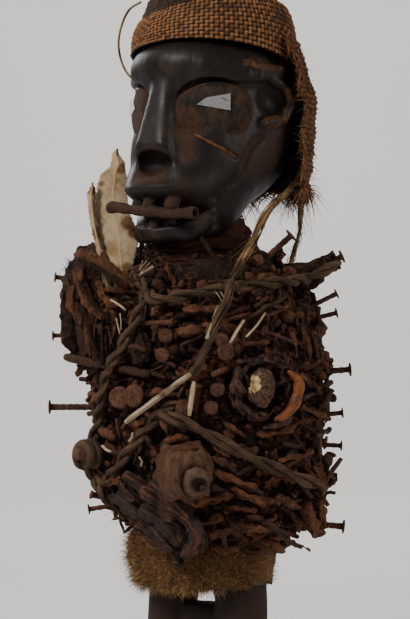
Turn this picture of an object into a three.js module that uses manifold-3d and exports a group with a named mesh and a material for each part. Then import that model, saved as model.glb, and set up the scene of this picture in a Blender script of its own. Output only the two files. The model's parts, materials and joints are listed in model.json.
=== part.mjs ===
// A carved wooden power figure, crusted with nails, rope and bundles, on a low oval base.
// Millimetres. +Z is up, the figure faces -Y, and the origin is the middle of the base's underside.

import * as THREE from 'three';
import { mergeVertices } from 'three/addons/utils/BufferGeometryUtils.js';
import Module from 'manifold-3d';

const wasm = await Module();
wasm.setup();

// Driving dimensions
const FIGURE_HEIGHT = 740;
const CLEARANCE = 0.35; // between pieces that touch
const BASE_HEIGHT = 30;
const BASE_LENGTH = 184;
const BASE_DEPTH = 168;
const BASE_EDGE = 5; // rounded edges of the base
const MIRROR_LENGTH = 28;
const MIRROR_HEIGHT = 14;
const MIRROR_THICKNESS = 3;
const CAP_THICKNESS = 5;
const STICK_LENGTH = 95;
const STICK_WIDTH = 10;
const STICK_BORE = 6;
const STICK_BORE_DEPTH = 12;
const CHEST_ROPE_WIDTH = 11.5;
const SIDE_ROPE_WIDTH = 11;
const BELLY_ROPE_WIDTH = 12.5;
const ROPE_PITCH = 38; // one full turn of the strands
const PEG_WIDTH = 11;
const PEG_LENGTH = 46;
const TWIG_WIDTH = 7.5;
const REED_WIDTH = 6;
const RAFFIA_WIDTH = 7;
const RIBBON_WIDTH = 5;
const LOOP_WIDTH = 2.2;
const FEATHER_THICKNESS = 1.6;
const NAIL_HEAD = 12;
const NAIL_HEAD_THICKNESS = 3.4;
const NAIL_SHANK = 5.2;
const TACK_HEAD = 9;
const TACK_HEAD_THICKNESS = 2.6;
const TACK_SHANK = 4;
const NAIL_HOLD = 20; // length driven into the crust
const DISC_WIDTH = 19;
const DISC_THICKNESS = 3.5;
const BUNDLE_WIDTH = 13;

// The free carving is laid out on a figure 740 steps high
const step = FIGURE_HEIGHT / 740;
// Direction that the crust's four side profiles are set out from
const VIEW_TURN = THREE.MathUtils.degToRad(38);

const place = (x, y, z) => new THREE.Vector3(x, y, z).multiplyScalar(step);
const clamp = THREE.MathUtils.clamp;
const lerp = THREE.MathUtils.lerp;
const radians = THREE.MathUtils.degToRad;

// Solids

function solid(geometry) {
  const bare = geometry.clone();
  bare.deleteAttribute('normal');
  bare.deleteAttribute('uv');
  const merged = mergeVertices(bare, 1e-4);
  const mesh = new wasm.Mesh({
    numProp: 3,
    vertProperties: Float32Array.from(merged.attributes.position.array),
    triVerts: Uint32Array.from(merged.index.array),
  });
  return new wasm.Manifold(mesh);
}

function geometryOf(body) {
  const mesh = body.getMesh();
  const geometry = new THREE.BufferGeometry();
  geometry.setAttribute('position', new THREE.BufferAttribute(Float32Array.from(mesh.vertProperties), 3));
  geometry.setIndex(new THREE.BufferAttribute(Uint32Array.from(mesh.triVerts), 1));
  return geometry;
}

const joined = (bodies) => bodies.reduce((whole, body) => whole.add(body));

function largest(body) {
  return body.decompose().reduce((best, piece) => (piece.volume() > best.volume() ? piece : best));
}

// A closed skin over rings of equal count, listed from below upwards, each anticlockwise from above
function skin(rings) {
  const count = rings[0].length;
  const index = (ring, side) => ring * count + (side % count);
  const lid = (ring) => (
    THREE.ShapeUtils.triangulateShape(ring.map((p) => new THREE.Vector2(p.x, p.y)), [])
  );
  const faces = [];
  lid(rings[0]).forEach(([a, b, c]) => faces.push(c, b, a));
  const last = rings.length - 1;
  lid(rings[last]).forEach((corners) => faces.push(...corners.map((side) => index(last, side))));
  for (let ring = 0; ring < last; ring += 1) {
    for (let side = 0; side < count; side += 1) {
      faces.push(index(ring, side), index(ring, side + 1), index(ring + 1, side + 1));
      faces.push(index(ring, side), index(ring + 1, side + 1), index(ring + 1, side));
    }
  }
  const geometry = new THREE.BufferGeometry().setFromPoints(rings.flat());
  geometry.setIndex(faces);
  return geometry;
}

// Elliptical sections [height, middle x, middle y, half width, half depth], stacked into a body
function stack(sections, sides, grow = 0) {
  const rings = sections.map(([z, x, y, wide, deep]) => Array.from({ length: sides }, (_, side) => {
    const turn = (2 * Math.PI * side) / sides;
    const p = place(x, y, z);
    p.x += (wide * step + grow) * Math.cos(turn);
    p.y += (deep * step + grow) * Math.sin(turn);
    return p;
  }));
  rings[0].forEach((p) => { p.z -= grow; });
  rings.at(-1).forEach((p) => { p.z += grow; });
  return solid(skin(rings));
}

// A turned body from a profile of [radius, distance along its axis], from one point to another
function turned(from, to, profile, sides) {
  const geometry = new THREE.LatheGeometry(profile.map(([r, along]) => new THREE.Vector2(r, along)), sides);
  const axis = to.clone().sub(from).normalize();
  geometry.applyQuaternion(new THREE.Quaternion().setFromUnitVectors(new THREE.Vector3(0, 1, 0), axis));
  geometry.translate(from.x, from.y, from.z);
  return solid(geometry);
}

// A seat is made with fewer sides than what lies in it, so its corners stand further out
const SEAT_SIDES = 5;
const seatSides = (sides, grow) => (grow > 0 ? Math.min(sides, SEAT_SIDES) : sides);
const seatReach = (radius, grow) => (grow > 0 ? (radius + grow) / Math.cos(Math.PI / SEAT_SIDES) : radius);

function rod(from, to, radius, sides, grow = 0) {
  const length = from.distanceTo(to);
  const reach = seatReach(radius, grow);
  const profile = [[0, -grow], [reach, -grow], [reach, length + grow], [0, length + grow]];
  return turned(from, to, profile, seatSides(sides, grow));
}

// A lump: an ellipsoid whose skin swells and dips
function lump(middle, radii, wobble, seed, grow = 0, rows = 7, sides = 10) {
  const rings = Array.from({ length: rows }, (_, row) => {
    const tilt = lerp(-80, 80, row / (rows - 1));
    return Array.from({ length: sides }, (__, side) => {
      const turn = (2 * Math.PI * side) / sides;
      const swell = 1 + wobble * Math.sin(3 * turn + seed) * Math.cos(radians(2 * tilt) + seed);
      const p = new THREE.Vector3(
        Math.cos(turn) * Math.cos(radians(tilt)),
        Math.sin(turn) * Math.cos(radians(tilt)),
        Math.sin(radians(tilt)),
      );
      return p.multiplyScalar(swell).multiply(radii.clone().addScalar(grow)).add(middle);
    });
  });
  return solid(skin(rings));
}

// A curve whose swept section turns as it goes, once in each pitch, as rope strands do
class TwistedPath extends THREE.CatmullRomCurve3 {
  constructor(points, pitch) {
    super(points);
    this.pitch = pitch;
  }

  computeFrenetFrames(segments, closed) {
    const frames = super.computeFrenetFrames(segments, closed);
    const turn = (2 * Math.PI * this.getLength()) / (this.pitch * segments);
    frames.tangents.forEach((tangent, i) => {
      frames.normals[i].applyAxisAngle(tangent, turn * i);
      frames.binormals[i].applyAxisAngle(tangent, turn * i);
    });
    return frames;
  }
}

const roundSection = (radius, sides) => new THREE.Shape(Array.from({ length: sides }, (_, side) => {
  const turn = (2 * Math.PI * side) / sides;
  return new THREE.Vector2(radius * Math.cos(turn), radius * Math.sin(turn));
}));

// Two strands side by side
const ropeSection = (width) => new THREE.Shape(Array.from({ length: 6 }, (_, side) => {
  const turn = (2 * Math.PI * side) / 6;
  const radius = (width / 2) * (0.86 + 0.14 * Math.cos(2 * turn));
  return new THREE.Vector2(radius * Math.cos(turn), radius * Math.sin(turn));
}));

function swept(section, path, spacing) {
  const steps = Math.max(4, Math.round(path.getLength() / spacing));
  return solid(new THREE.ExtrudeGeometry(section, { steps, bevelEnabled: false, extrudePath: path }));
}

const tube = (points, width, grow = 0, sides = 8, spacing = 3 * width) => swept(
  roundSection(seatReach(width / 2, grow), seatSides(sides, grow)),
  new THREE.CatmullRomCurve3(points),
  spacing,
);

const rope = (points, width, grow = 0) => (
  grow > 0
    ? tube(points, width, grow, 5, ROPE_PITCH / 4)
    : swept(ropeSection(width), new TwistedPath(points, ROPE_PITCH), ROPE_PITCH / 4)
);

// Signed distances for the carved head, in steps

function ellipsoidAt(p, middle, radii) {
  const off = [p[0] - middle[0], p[1] - middle[1], p[2] - middle[2]];
  const near = Math.hypot(...off.map((gone, i) => gone / radii[i]));
  const slope = Math.hypot(...off.map((gone, i) => gone / radii[i] ** 2));
  return (near * (near - 1)) / Math.max(slope, 1e-6);
}

function barAt(p, from, to, radius) {
  const run = to.map((end, i) => end - from[i]);
  const gone = from.map((start, i) => p[i] - start);
  const dot = (m, n) => m[0] * n[0] + m[1] * n[1] + m[2] * n[2];
  const along = clamp(dot(run, gone) / dot(run, run), 0, 1);
  return Math.hypot(...gone.map((off, i) => off - run[i] * along)) - radius;
}

function blockAt(p, middle, half, radius) {
  return Math.hypot(...p.map((x, i) => Math.max(Math.abs(x - middle[i]) - half[i], 0))) - radius;
}

function blend(a, b, soft) {
  const share = clamp(0.5 + (0.5 * (b - a)) / soft, 0, 1);
  return lerp(b, a, share) - soft * share * (1 - share);
}

const carve = (a, b, soft) => -blend(-a, b, soft);

function noseAt(p) {
  const low = (650 - p[2]) / 70;
  const side = (p[0] - 11 - 11 * low) * 0.96;
  const front = (-p[1] - 68 - 21 * low) * 0.95;
  const underside = 0.78 * (p[1] + 88) + 0.62 * (p[2] - 580);
  const ridge = Math.max(-blend(-side, -front, 9), p[1] + 30, p[2] - 662);
  return carve(ridge, underside, 3);
}

// Both halves of the head are alike but for the teeth, so the first number is taken as a distance
function headAt(x, y, z) {
  const p = [Math.abs(x), y, z];
  let head = ellipsoidAt(p, [0, 4, 634], [64, 74, 64]);
  head = blend(head, ellipsoidAt(p, [0, 24, 612], [69, 62, 70]), 10);
  head = blend(head, ellipsoidAt(p, [0, 2, 586], [60, 70, 58]), 10);
  head = blend(head, ellipsoidAt(p, [0, -20, 553], [47, 50, 52]), 12);
  // heavy brow over the eye hollows
  head = blend(head, ellipsoidAt(p, [0, -24, 650], [52, 48, 26]), 8);
  head = carve(head, ellipsoidAt(p, [39, -74, 610], [30, 26, 29]), 3);
  // cheeks, muzzle and chin
  head = blend(head, ellipsoidAt(p, [22, -30, 570], [26, 27, 32]), 8);
  head = blend(head, ellipsoidAt(p, [14, -40, 553], [29, 35, 21]), 8);
  head = blend(head, ellipsoidAt(p, [0, -41, 544], [40, 46, 14]), 6);
  head = blend(head, ellipsoidAt(p, [0, -32, 513], [34, 41, 11]), 5);
  // resin domes that hold the mirrors
  head = blend(head, ellipsoidAt(p, [21, -22, 612], [34, 34, 20]), 3);
  head = blend(head, noseAt(p), 6);
  head = carve(head, ellipsoidAt(p, [10, -72, 566], [8, 12, 7]), 3);
  // open mouth with three peg teeth above and three below
  const reach = clamp(1 - (p[0] / 41) ** 2, 0, 1);
  const gap = Math.abs(z - 524 - p[0] * 0.03) - 11.5 * reach ** 0.4;
  head = carve(head, Math.max(gap, -(head + 13), y + 40), 2.5);
  [[-17, -70], [0, -74], [18, -70]].forEach(([side, front]) => {
    head = blend(head, barAt([x, y, z], [side, front + 5, 546], [side, front - 2, 531], 6.5), 1.5);
  });
  [[-13, -62], [-1, -64], [13, -62]].forEach(([side, front]) => {
    head = blend(head, barAt([x, y, z], [side, front + 3, 508], [side, front, 516], 5.5), 1.5);
  });
  // crease down the cheek, and the scar under the eye
  head = carve(head, barAt(p, [62, -20, 590], [58, -32, 562], 4.5), 5);
  head = carve(head, barAt(p, [58, -32, 562], [43, -48, 531], 4), 4);
  head = carve(head, barAt(p, [26, -56, 597], [55, -36, 580], 3), 2);
  // ear: a hollow ring with a block above it
  const round = Math.hypot((y - 4) / 23, (z - 619) / 18);
  head = blend(head, Math.hypot((round - 1) * 19, p[0] - 64) - 4.5, 4);
  head = carve(head, ellipsoidAt(p, [71, -4, 619], [10, 19, 11]), 3);
  head = blend(head, blockAt(p, [58, 8, 645], [5, 20, 2], 4.5), 4);
  return head;
}

// How far out the head's skin is from a point inside it, found from outside inwards
function headReach(middle, ray, grow) {
  const at = (reach) => headAt(
    middle[0] + ray[0] * reach,
    middle[1] + ray[1] * reach,
    middle[2] + ray[2] * reach,
  ) - grow / step;
  let outer = 130;
  while (at(outer) > 0 && outer > 4) outer -= 2;
  let inner = outer;
  outer += 2;
  for (let i = 0; i < 12; i += 1) {
    const half = (inner + outer) / 2;
    if (at(half) > 0) outer = half;
    else inner = half;
  }
  return inner;
}

// Rays from inside the head, closest together on the face. Each point is the average of a few
// rays around its own, so that a cut finer than the spacing reads as a soft dip.
const HEAD_MIDDLE = [0, -6, 580];
const RAY_SPREAD = 0.028;
const RAY_OFFSETS = [[0, 0], [0, 0], [1, 1], [-1, 1], [1, -1], [-1, -1]];

function headSkin(grow, columns, tilts) {
  const rings = tilts.map((tilt) => Array.from({ length: columns }, (_, column) => {
    const even = (2 * Math.PI * column) / columns;
    const turn = even - 0.52 * Math.sin(even);
    const rayAt = (aside, up) => [
      Math.sin(turn + aside) * Math.cos(tilt + up),
      -Math.cos(turn + aside) * Math.cos(tilt + up),
      Math.sin(tilt + up),
    ];
    const reaches = RAY_OFFSETS.map(([aside, up]) => (
      headReach(HEAD_MIDDLE, rayAt(aside * RAY_SPREAD, up * RAY_SPREAD), grow)
    ));
    const reach = reaches.reduce((sum, value) => sum + value) / reaches.length;
    const ray = rayAt(0, 0);
    return place(...HEAD_MIDDLE.map((start, i) => start + ray[i] * reach));
  }));
  return solid(skin(rings));
}

const spread = (from, to, count) => (
  Array.from({ length: count }, (_, i) => radians(lerp(from, to, i / count)))
);
const HEAD_COLUMNS = 38;
const HEAD_TILTS = [
  ...spread(-84, -58, 3),
  ...spread(-58, -8, 13),
  ...spread(-8, 50, 10),
  ...spread(50, 88, 3),
];

// Wood: head, neck, trunk, legs and base, carved from one block

const NECK_AND_TRUNK = [
  [222, 0, 1, 48, 38],
  [232, 0, 1, 55, 45],
  [250, 0, 2, 56, 47],
  [330, 0, 0, 47, 45],
  [420, 0, 0, 56, 44],
  [462, 0, 2, 64, 42],
  [482, 0, 4, 44, 36],
  [500, 0, 4, 33, 33],
  [545, 0, 2, 32, 34],
];
const WEB_BETWEEN_LEGS = [
  [148, 0, 2, 22, 13],
  [158, 0, 1, 24, 17],
  [191, 0, 0, 24, 18],
  [197, 0, 0, 22, 15],
];
const FOOT_DEPTH_IN_BASE = 6;
const BASE_TOP = BASE_HEIGHT / step;
const LEG = [
  [BASE_TOP - FOOT_DEPTH_IN_BASE, 42, -18, 24, 46],
  [BASE_TOP + 10, 42, -17, 23, 44],
  [BASE_TOP + 22, 41, -9, 19, 32],
  [BASE_TOP + 38, 40, 0, 16, 19],
  [95, 39, 4, 19, 22],
  [125, 39, 6, 22, 25],
  [152, 38, 2, 20, 21],
  [172, 37, -1, 21, 22],
  [200, 35, 0, 21, 24],
  [230, 32, 2, 20, 26],
];
const LEFT_LEG_EXTRA = 1.5;

function baseBlock(grow) {
  const ring = (z, inset) => Array.from({ length: 24 }, (_, side) => {
    const turn = (2 * Math.PI * side) / 24;
    const wide = BASE_LENGTH / 2 - inset + grow;
    const deep = BASE_DEPTH / 2 - inset + grow;
    return new THREE.Vector3(wide * Math.cos(turn), deep * Math.sin(turn), z);
  });
  return solid(skin([
    ring(0, BASE_EDGE / 2),
    ring(BASE_EDGE / 2, 0),
    ring(BASE_HEIGHT - BASE_EDGE, 0),
    ring(BASE_HEIGHT - BASE_EDGE / 3, BASE_EDGE / 3),
    ring(BASE_HEIGHT + grow, BASE_EDGE),
  ]));
}

const wholeFigure = (grow) => joined([
  headSkin(grow, HEAD_COLUMNS, HEAD_TILTS),
  stack(NECK_AND_TRUNK, 12, grow),
  stack(WEB_BETWEEN_LEGS, 8, grow),
  stack(LEG.map(([z, x, y, wide, deep]) => [z, x, y, wide + LEFT_LEG_EXTRA, deep]), 12, grow),
  stack(LEG.map(([z, x, y, wide, deep]) => [z, -x, y, wide, deep]), 12, grow),
  baseBlock(grow),
]);

// A mirror shard lies in the resin of each eye, its pointed end towards the nose.
// The carving stays open in front of it.
const MIRROR_TURN = 42;
const MIRROR_SEAT = [43.5, -47, 617];
const EYE_OPENING_DEPTH = 14;

function mirror(side, grow) {
  const half = MIRROR_LENGTH / 2 + grow;
  const tall = MIRROR_HEIGHT / 2 + grow;
  const outline = new THREE.Shape([
    new THREE.Vector2(-side * half, -tall / 3),
    new THREE.Vector2(side * half, -tall),
    new THREE.Vector2(side * half, tall),
    new THREE.Vector2(-side * half * 0.4, tall * 0.5),
  ]);
  const opening = grow > 0 ? EYE_OPENING_DEPTH : 0;
  const depth = MIRROR_THICKNESS + grow + opening;
  const plate = new THREE.ExtrudeGeometry(outline, { depth, bevelEnabled: false });
  plate.translate(0, 0, opening - depth);
  plate.rotateX(radians(90));
  plate.rotateZ(side * radians(MIRROR_TURN));
  const seat = place(side * MIRROR_SEAT[0], MIRROR_SEAT[1], MIRROR_SEAT[2]);
  plate.translate(seat.x, seat.y, seat.z);
  return solid(plate);
}

// Cap: a woven crown with a turned-up cuff and a flap down the back of the head

const CAP_MIDDLE = [0, 8];
const CAP_TOP = 740;
const CAP_BULGE = { z: CAP_TOP - 82, wide: 64, deep: 71, high: 84, fullness: 2.3 };
const CAP_RIM = { z: CAP_TOP - 85, tilt: 15, turn: radians(20) };
const CUFF_TOP = { z: CAP_TOP - 46, tilt: 14, turn: radians(80) };
const tiltedRing = (ring, turn) => ring.z + ring.tilt * Math.cos(turn - ring.turn);
// Rows of the cap: share of the way up the cuff, share of the way from there up the crown,
// and share of the cuff's thickness
const CAP_ROWS = [
  [0, 0, 0.5],
  [0.08, 0, 1],
  [0.5, 0, 1],
  [0.9, 0, 1],
  [1, 0, 0.7],
  [1, 0.04, 0],
  [1, 0.34, 0],
  [1, 0.6, 0],
  [1, 0.8, 0],
  [1, 0.93, 0],
  [1, 1, 0],
];

function capRing([upCuff, upCrown, cuffShare], grow) {
  return Array.from({ length: 26 }, (_, side) => {
    const turn = (2 * Math.PI * side) / 26;
    const ray = [Math.sin(turn), -Math.cos(turn), 0];
    const edge = lerp(tiltedRing(CAP_RIM, turn), tiltedRing(CUFF_TOP, turn), upCuff);
    const z = lerp(edge, CAP_TOP, upCrown);
    const high = clamp((z - CAP_BULGE.z) / CAP_BULGE.high, 0, 1);
    const slope = (1 - high ** CAP_BULGE.fullness) ** (1 / CAP_BULGE.fullness);
    const bulge = slope / Math.hypot(ray[0] / CAP_BULGE.wide, ray[1] / CAP_BULGE.deep);
    const snug = headReach([CAP_MIDDLE[0], CAP_MIDDLE[1], z], ray, 0) + CAP_THICKNESS / step;
    const reach = Math.max(bulge, snug) + (cuffShare * CAP_THICKNESS + grow) / step;
    return place(CAP_MIDDLE[0] + ray[0] * reach, CAP_MIDDLE[1] + ray[1] * reach, z);
  });
}

// Arc-shaped sections: [height, radius, where it starts and ends in degrees from the front]
function hangingBand(sections, thickness, grow, count = 9) {
  const rings = sections.map(([z, radius, from, to]) => {
    const arc = (reach, extra) => Array.from({ length: count }, (_, i) => {
      const turn = radians(lerp(from - extra, to + extra, i / (count - 1)));
      const p = place(CAP_MIDDLE[0], CAP_MIDDLE[1], z);
      p.x += Math.sin(turn) * (radius * step + reach);
      p.y -= Math.cos(turn) * (radius * step + reach);
      return p;
    });
    const spare = grow > 0 ? 0.4 : 0;
    return [...arc(thickness / 2 + grow, spare), ...arc(-thickness / 2 - grow, spare).reverse()];
  });
  rings[0].forEach((p) => { p.z -= grow; });
  rings.at(-1).forEach((p) => { p.z += grow; });
  return solid(skin(rings));
}

const CAP_FLAP = [
  [548, 77, 112, 214],
  [562, 79, 106, 220],
  [590, 81, 103, 226],
  [622, 84, 100, 232],
  [648, 77, 98, 236],
  [668, 68, 98, 238],
];

function cap(grow) {
  const rings = CAP_ROWS.map((row) => capRing(row, grow));
  const top = rings.at(-1);
  top.forEach((p) => { p.z += grow; });
  return joined([solid(skin(rings)), hangingBand(CAP_FLAP, CAP_THICKNESS, grow)]);
}

// Crust: how far the mass of resin, cloth and earth stands from the axis at each height,
// along four directions a quarter turn apart, the second of them at VIEW_TURN

const CRUST_PROFILE = [
  [246, 50, 58, 58, 55],
  [260, 64, 74, 92, 68],
  [278, 84, 86, 103, 78],
  [300, 101, 93, 105, 85],
  [325, 104, 94, 102, 88],
  [351, 96, 92, 100, 90],
  [390, 103, 92, 109, 93],
  [428, 112, 86, 101, 93],
  [456, 108, 76, 96, 88],
  [478, 88, 60, 82, 74],
  [496, 58, 48, 56, 52],
];

// A smooth outline through how far it stands out on four sides
function aroundFour(reaches, turn) {
  const quarter = ((((turn - VIEW_TURN) / (Math.PI / 2) + 1) % 4) + 4) % 4;
  const from = Math.floor(quarter) % 4;
  const ease = (1 - Math.cos(Math.PI * (quarter - Math.floor(quarter)))) / 2;
  return lerp(reaches[from], reaches[(from + 1) % 4], ease);
}

function crustReach(around, z) {
  const last = CRUST_PROFILE.length - 1;
  let row = CRUST_PROFILE.findIndex(([height]) => height >= z);
  row = clamp(row < 0 ? last : row, 1, last);
  const [low, high] = [CRUST_PROFILE[row - 1], CRUST_PROFILE[row]];
  const rise = clamp((z - low[0]) / (high[0] - low[0]), 0, 1);
  return aroundFour([1, 2, 3, 4].map((side) => lerp(low[side], high[side], rise)), radians(around));
}

function crustSwell(around, z) {
  const turn = radians(around);
  return 2.6 * Math.sin(3 * turn + z / 17) + 2.2 * Math.sin(7 * turn - z / 11 + 1.3)
    + 1.8 * Math.sin(12 * turn + z / 8 + 4);
}

const outward = (around, lift = 0) => {
  const turn = radians(around);
  return new THREE.Vector3(Math.sin(turn), -Math.cos(turn), lift).normalize();
};
const onCrust = (around, z, out = 0) => {
  const reach = crustReach(around, z) + out;
  return place(Math.sin(radians(around)) * reach, -Math.cos(radians(around)) * reach, z);
};
// A point by how far it is to one side of the VIEW_TURN direction, how far along it, and its height
const inView = (aside, along, z) => place(
  aside * Math.cos(VIEW_TURN) + along * Math.sin(VIEW_TURN),
  aside * Math.sin(VIEW_TURN) - along * Math.cos(VIEW_TURN),
  z,
);
const trail = (points) => points.map(([around, z, out]) => onCrust(around, z, out));
const viewTrail = (points) => points.map(([aside, along, z]) => inView(aside, along, z));

function nail(spot, direction, out, size, grow = 0) {
  const shank = seatReach(size.shank / 2, grow);
  const head = seatReach(size.head / 2, grow);
  const profile = [
    [0, -NAIL_HOLD - grow],
    [shank, -NAIL_HOLD - grow],
    [shank, out - size.thickness - grow],
    [head, out - size.thickness * 0.6 - grow],
    [head, out + grow],
    [0, out + size.thickness * 0.2 + grow],
  ];
  return turned(spot, spot.clone().add(direction), profile, seatSides(6, grow));
}

const BIG = { head: NAIL_HEAD, thickness: NAIL_HEAD_THICKNESS, shank: NAIL_SHANK };
const SMALL = { head: TACK_HEAD, thickness: TACK_HEAD_THICKNESS, shank: TACK_SHANK };

// Nails that stand clear of the crust: around, height, turn away from straight out, lift, reach, size
const NAILS = [
  [-52, 363, 0, 0, 36, BIG],
  [-50, 424, 0, 0, 20, SMALL],
  [-50, 470, 4, 0.1, 34, SMALL],
  [-50, 279, 0, -0.15, 16, SMALL],
  [128, 394, 0, 0.08, 14, BIG],
  [126, 357, 0, 0.1, 14, SMALL],
  [128, 331, 0, -0.05, 13, SMALL],
  [126, 264, 0, -0.1, 22, BIG],
  [128, 440, 0, 0.25, 12, SMALL],
  [120, 452, 4, 0.5, 16, SMALL],
  [46, 421.5, -8, 0, 10, BIG],
  [48, 409, -8, 0.1, 10, BIG],
  [43.5, 381, -6, 0, 9, BIG],
  [27, 367, 6, 0, 8, BIG],
  [40, 366, -2, 0.1, 8, BIG],
  [15.5, 409, 12, 0, 8, BIG],
  [16.6, 425, 10, 0, 8, BIG],
  [96, 490, 20, 0.9, 26, BIG],
];
const driven = ([around, z, aside, lift, out, size], grow = 0) => (
  nail(onCrust(around, z, -1), outward(around + aside, lift), out + 1, size, grow)
);

// Nails that lie against the crust: start and end
const LYING_NAILS = [
  [[56, 418, 3], [70, 419, 5]],
  [[68, 429, 3], [83, 419, 5]],
  [[70, 440, 3], [84, 449, 6]],
];

function lyingNail([from, to], grow) {
  const start = onCrust(...to);
  const end = onCrust(...from);
  const length = start.distanceTo(end);
  const point = seatReach(TACK_SHANK / 3, grow);
  const shank = seatReach(TACK_SHANK / 2, grow);
  const head = seatReach(TACK_HEAD / 2, grow);
  const profile = [
    [0, -grow],
    [point, -grow],
    [shank, length * 0.3],
    [shank, length - TACK_HEAD_THICKNESS - grow],
    [head, length - TACK_HEAD_THICKNESS / 2 - grow],
    [head, length + grow],
    [0, length + grow],
  ];
  return turned(start, end, profile, seatSides(6, grow));
}

// Small nails fused to the crust, spaced by the golden angle so that none share a line
const FUSED_NAILS = 12;
const GOLDEN_TURN = 137.508;
const fusedNails = () => Array.from({ length: FUSED_NAILS }, (_, i) => {
  const around = (i * GOLDEN_TURN) % 360;
  const z = lerp(276, 462, (i + 0.5) / FUSED_NAILS);
  const spot = onCrust(around, z, -2);
  const direction = outward(around + 22 * Math.sin(i * 2.1), 0.35 * Math.sin(i * 1.7));
  const profile = [[0, -6], [1.9, -6], [1.9, 7], [4.3, 7.4], [4.3, 9.4], [0, 10]];
  return turned(spot, spot.clone().add(direction), profile, 5);
});

const CRUST_ROWS = 13;
const CRUST_COLUMNS = 30;

function crust() {
  const rings = Array.from({ length: CRUST_ROWS }, (_, row) => {
    const z = lerp(CRUST_PROFILE[0][0], CRUST_PROFILE.at(-1)[0], row / (CRUST_ROWS - 1));
    return Array.from({ length: CRUST_COLUMNS }, (__, side) => {
      const around = (360 * side) / CRUST_COLUMNS;
      return onCrust(around, z, crustSwell(around, z));
    });
  });
  return joined([solid(skin(rings)), ...fusedNails()]);
}

// Pieces bound into the crust. Each takes how much to grow by, so that others can be cut to fit it

const STICK_MIDDLE = [1, -78.5, 527.5];
const STICK_END = [48, -80, 525];

const mouthStick = (grow) => {
  const middle = place(...STICK_MIDDLE);
  const axis = place(...STICK_END).sub(middle).normalize();
  const near = middle.clone().addScaledVector(axis, STICK_LENGTH / 2);
  const far = middle.clone().addScaledVector(axis, -STICK_LENGTH / 2);
  const body = rod(far, near, STICK_WIDTH / 2, 9, grow);
  if (grow > 0) return body;
  const bottom = near.clone().addScaledVector(axis, -STICK_BORE_DEPTH);
  return body.subtract(rod(bottom, near.clone().addScaledVector(axis, 1), STICK_BORE / 2, 7));
};

// A feather blade: an outline in the viewing plane that leans back as it rises
function feather(outline, along, lean, grow) {
  const shape = new THREE.Shape(outline.map(([aside, z]) => new THREE.Vector2(aside * step, z * step)));
  const thickness = FEATHER_THICKNESS + 2 * grow;
  const blade = new THREE.ExtrudeGeometry(shape, { depth: thickness, bevelEnabled: false });
  const points = blade.attributes.position;
  const low = Math.min(...outline.map(([, z]) => z)) * step;
  for (let i = 0; i < points.count; i += 1) {
    const [aside, z] = [points.getX(i), points.getY(i)];
    const forward = along * step - (z - low) * lean + points.getZ(i) - thickness / 2;
    points.setXYZ(
      i,
      aside * Math.cos(VIEW_TURN) + forward * Math.sin(VIEW_TURN),
      aside * Math.sin(VIEW_TURN) - forward * Math.cos(VIEW_TURN),
      z,
    );
  }
  return solid(blade);
}

const LARGE_FEATHER = [
  [-68, 464], [-63, 477], [-57, 506], [-60, 515], [-65.5, 528], [-67.7, 542], [-67.7, 554], [-70.6, 573],
  [-74.8, 578], [-77, 584.5], [-81.8, 579.5], [-82.3, 569], [-90.4, 562], [-93.8, 551], [-95, 538],
  [-95, 519], [-92.4, 500], [-82.5, 480], [-78, 464],
];
const SMALL_FEATHER = [
  [-79, 464], [-83, 486], [-87.4, 500], [-91.6, 517], [-94, 534], [-94, 547], [-97, 554], [-101.6, 544.5],
  [-100, 529], [-97.4, 514], [-93, 497], [-89, 482], [-86, 464],
];

const neckWrap = (grow) => {
  const profile = [[464, 45], [473, 51], [487, 48], [500, 46], [508, 40]];
  return stack(profile.map(([z, reach]) => [z, 0, 3, reach, reach - 1]), 12, grow);
};

const shoulderBundle = (grow) => joined([
  lump(inView(-92, 12, 470), new THREE.Vector3(34, 34, 30).multiplyScalar(step), 0.07, 1, grow, 7, 10),
  lump(inView(-98, 10, 488), new THREE.Vector3(20, 22, 18).multiplyScalar(step), 0.1, 3, grow, 5, 8),
  lump(inView(-112, 6, 440), new THREE.Vector3(15, 24, 34).multiplyScalar(step), 0.12, 2, grow, 5, 8),
]);
const shoulderKnot = (grow) => (
  lump(inView(-58, 60, 471), new THREE.Vector3(11, 11, 12).multiplyScalar(step), 0.06, 2, grow, 6, 9)
);
const shoulderStub = (grow) => joined([
  lump(inView(78, -2, 474), new THREE.Vector3(26, 24, 15).multiplyScalar(step), 0.1, 2, grow, 6, 9),
  rod(inView(80, -2, 474), inView(112, -4, 489), 11.5 * step, 9, grow),
]);
const stubNail = (grow) => nail(
  inView(108, -3, 488),
  inView(1, 0, 0.45).normalize(),
  8,
  BIG,
  grow,
);

const CHEST_ROPE = [
  ...trail([
    [4, 462, 4], [8, 455, 6], [20.6, 456, 7], [34, 460, 7], [51, 463.5, 8], [70, 467, 8], [92, 470, 8],
  ]),
  ...viewTrail([[84, 28, 472], [98, 15, 478], [112, 9, 486]]),
];
const SIDE_ROPE_ABOVE_PEG = trail([
  [-5, 472, 7], [3, 461, 5], [1.6, 444, 4], [-5.3, 417, 3], [-13.9, 398, 3], [-22.6, 371, 3], [-29, 347, 4],
  [-31, 335, 8],
]);
const SIDE_ROPE_BELOW_PEG = trail([
  [-29, 318, 8], [-24, 307, 5], [-16, 305, 4], [-10, 314, 4],
  [0, 334, 4], [10, 353, 4], [16, 364, 4], [25, 372, 1],
]);
const SIDE_ROPE_END = trail([[-25, 308, 4], [-22, 296, 6], [-20, 285, 4]]);
const PEG_SPOT = [-28, 326];
const pegAxis = outward(-12, 0.02);
const pegFoot = () => onCrust(...PEG_SPOT, -22);
const PEG_TURNS = 2;

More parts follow.
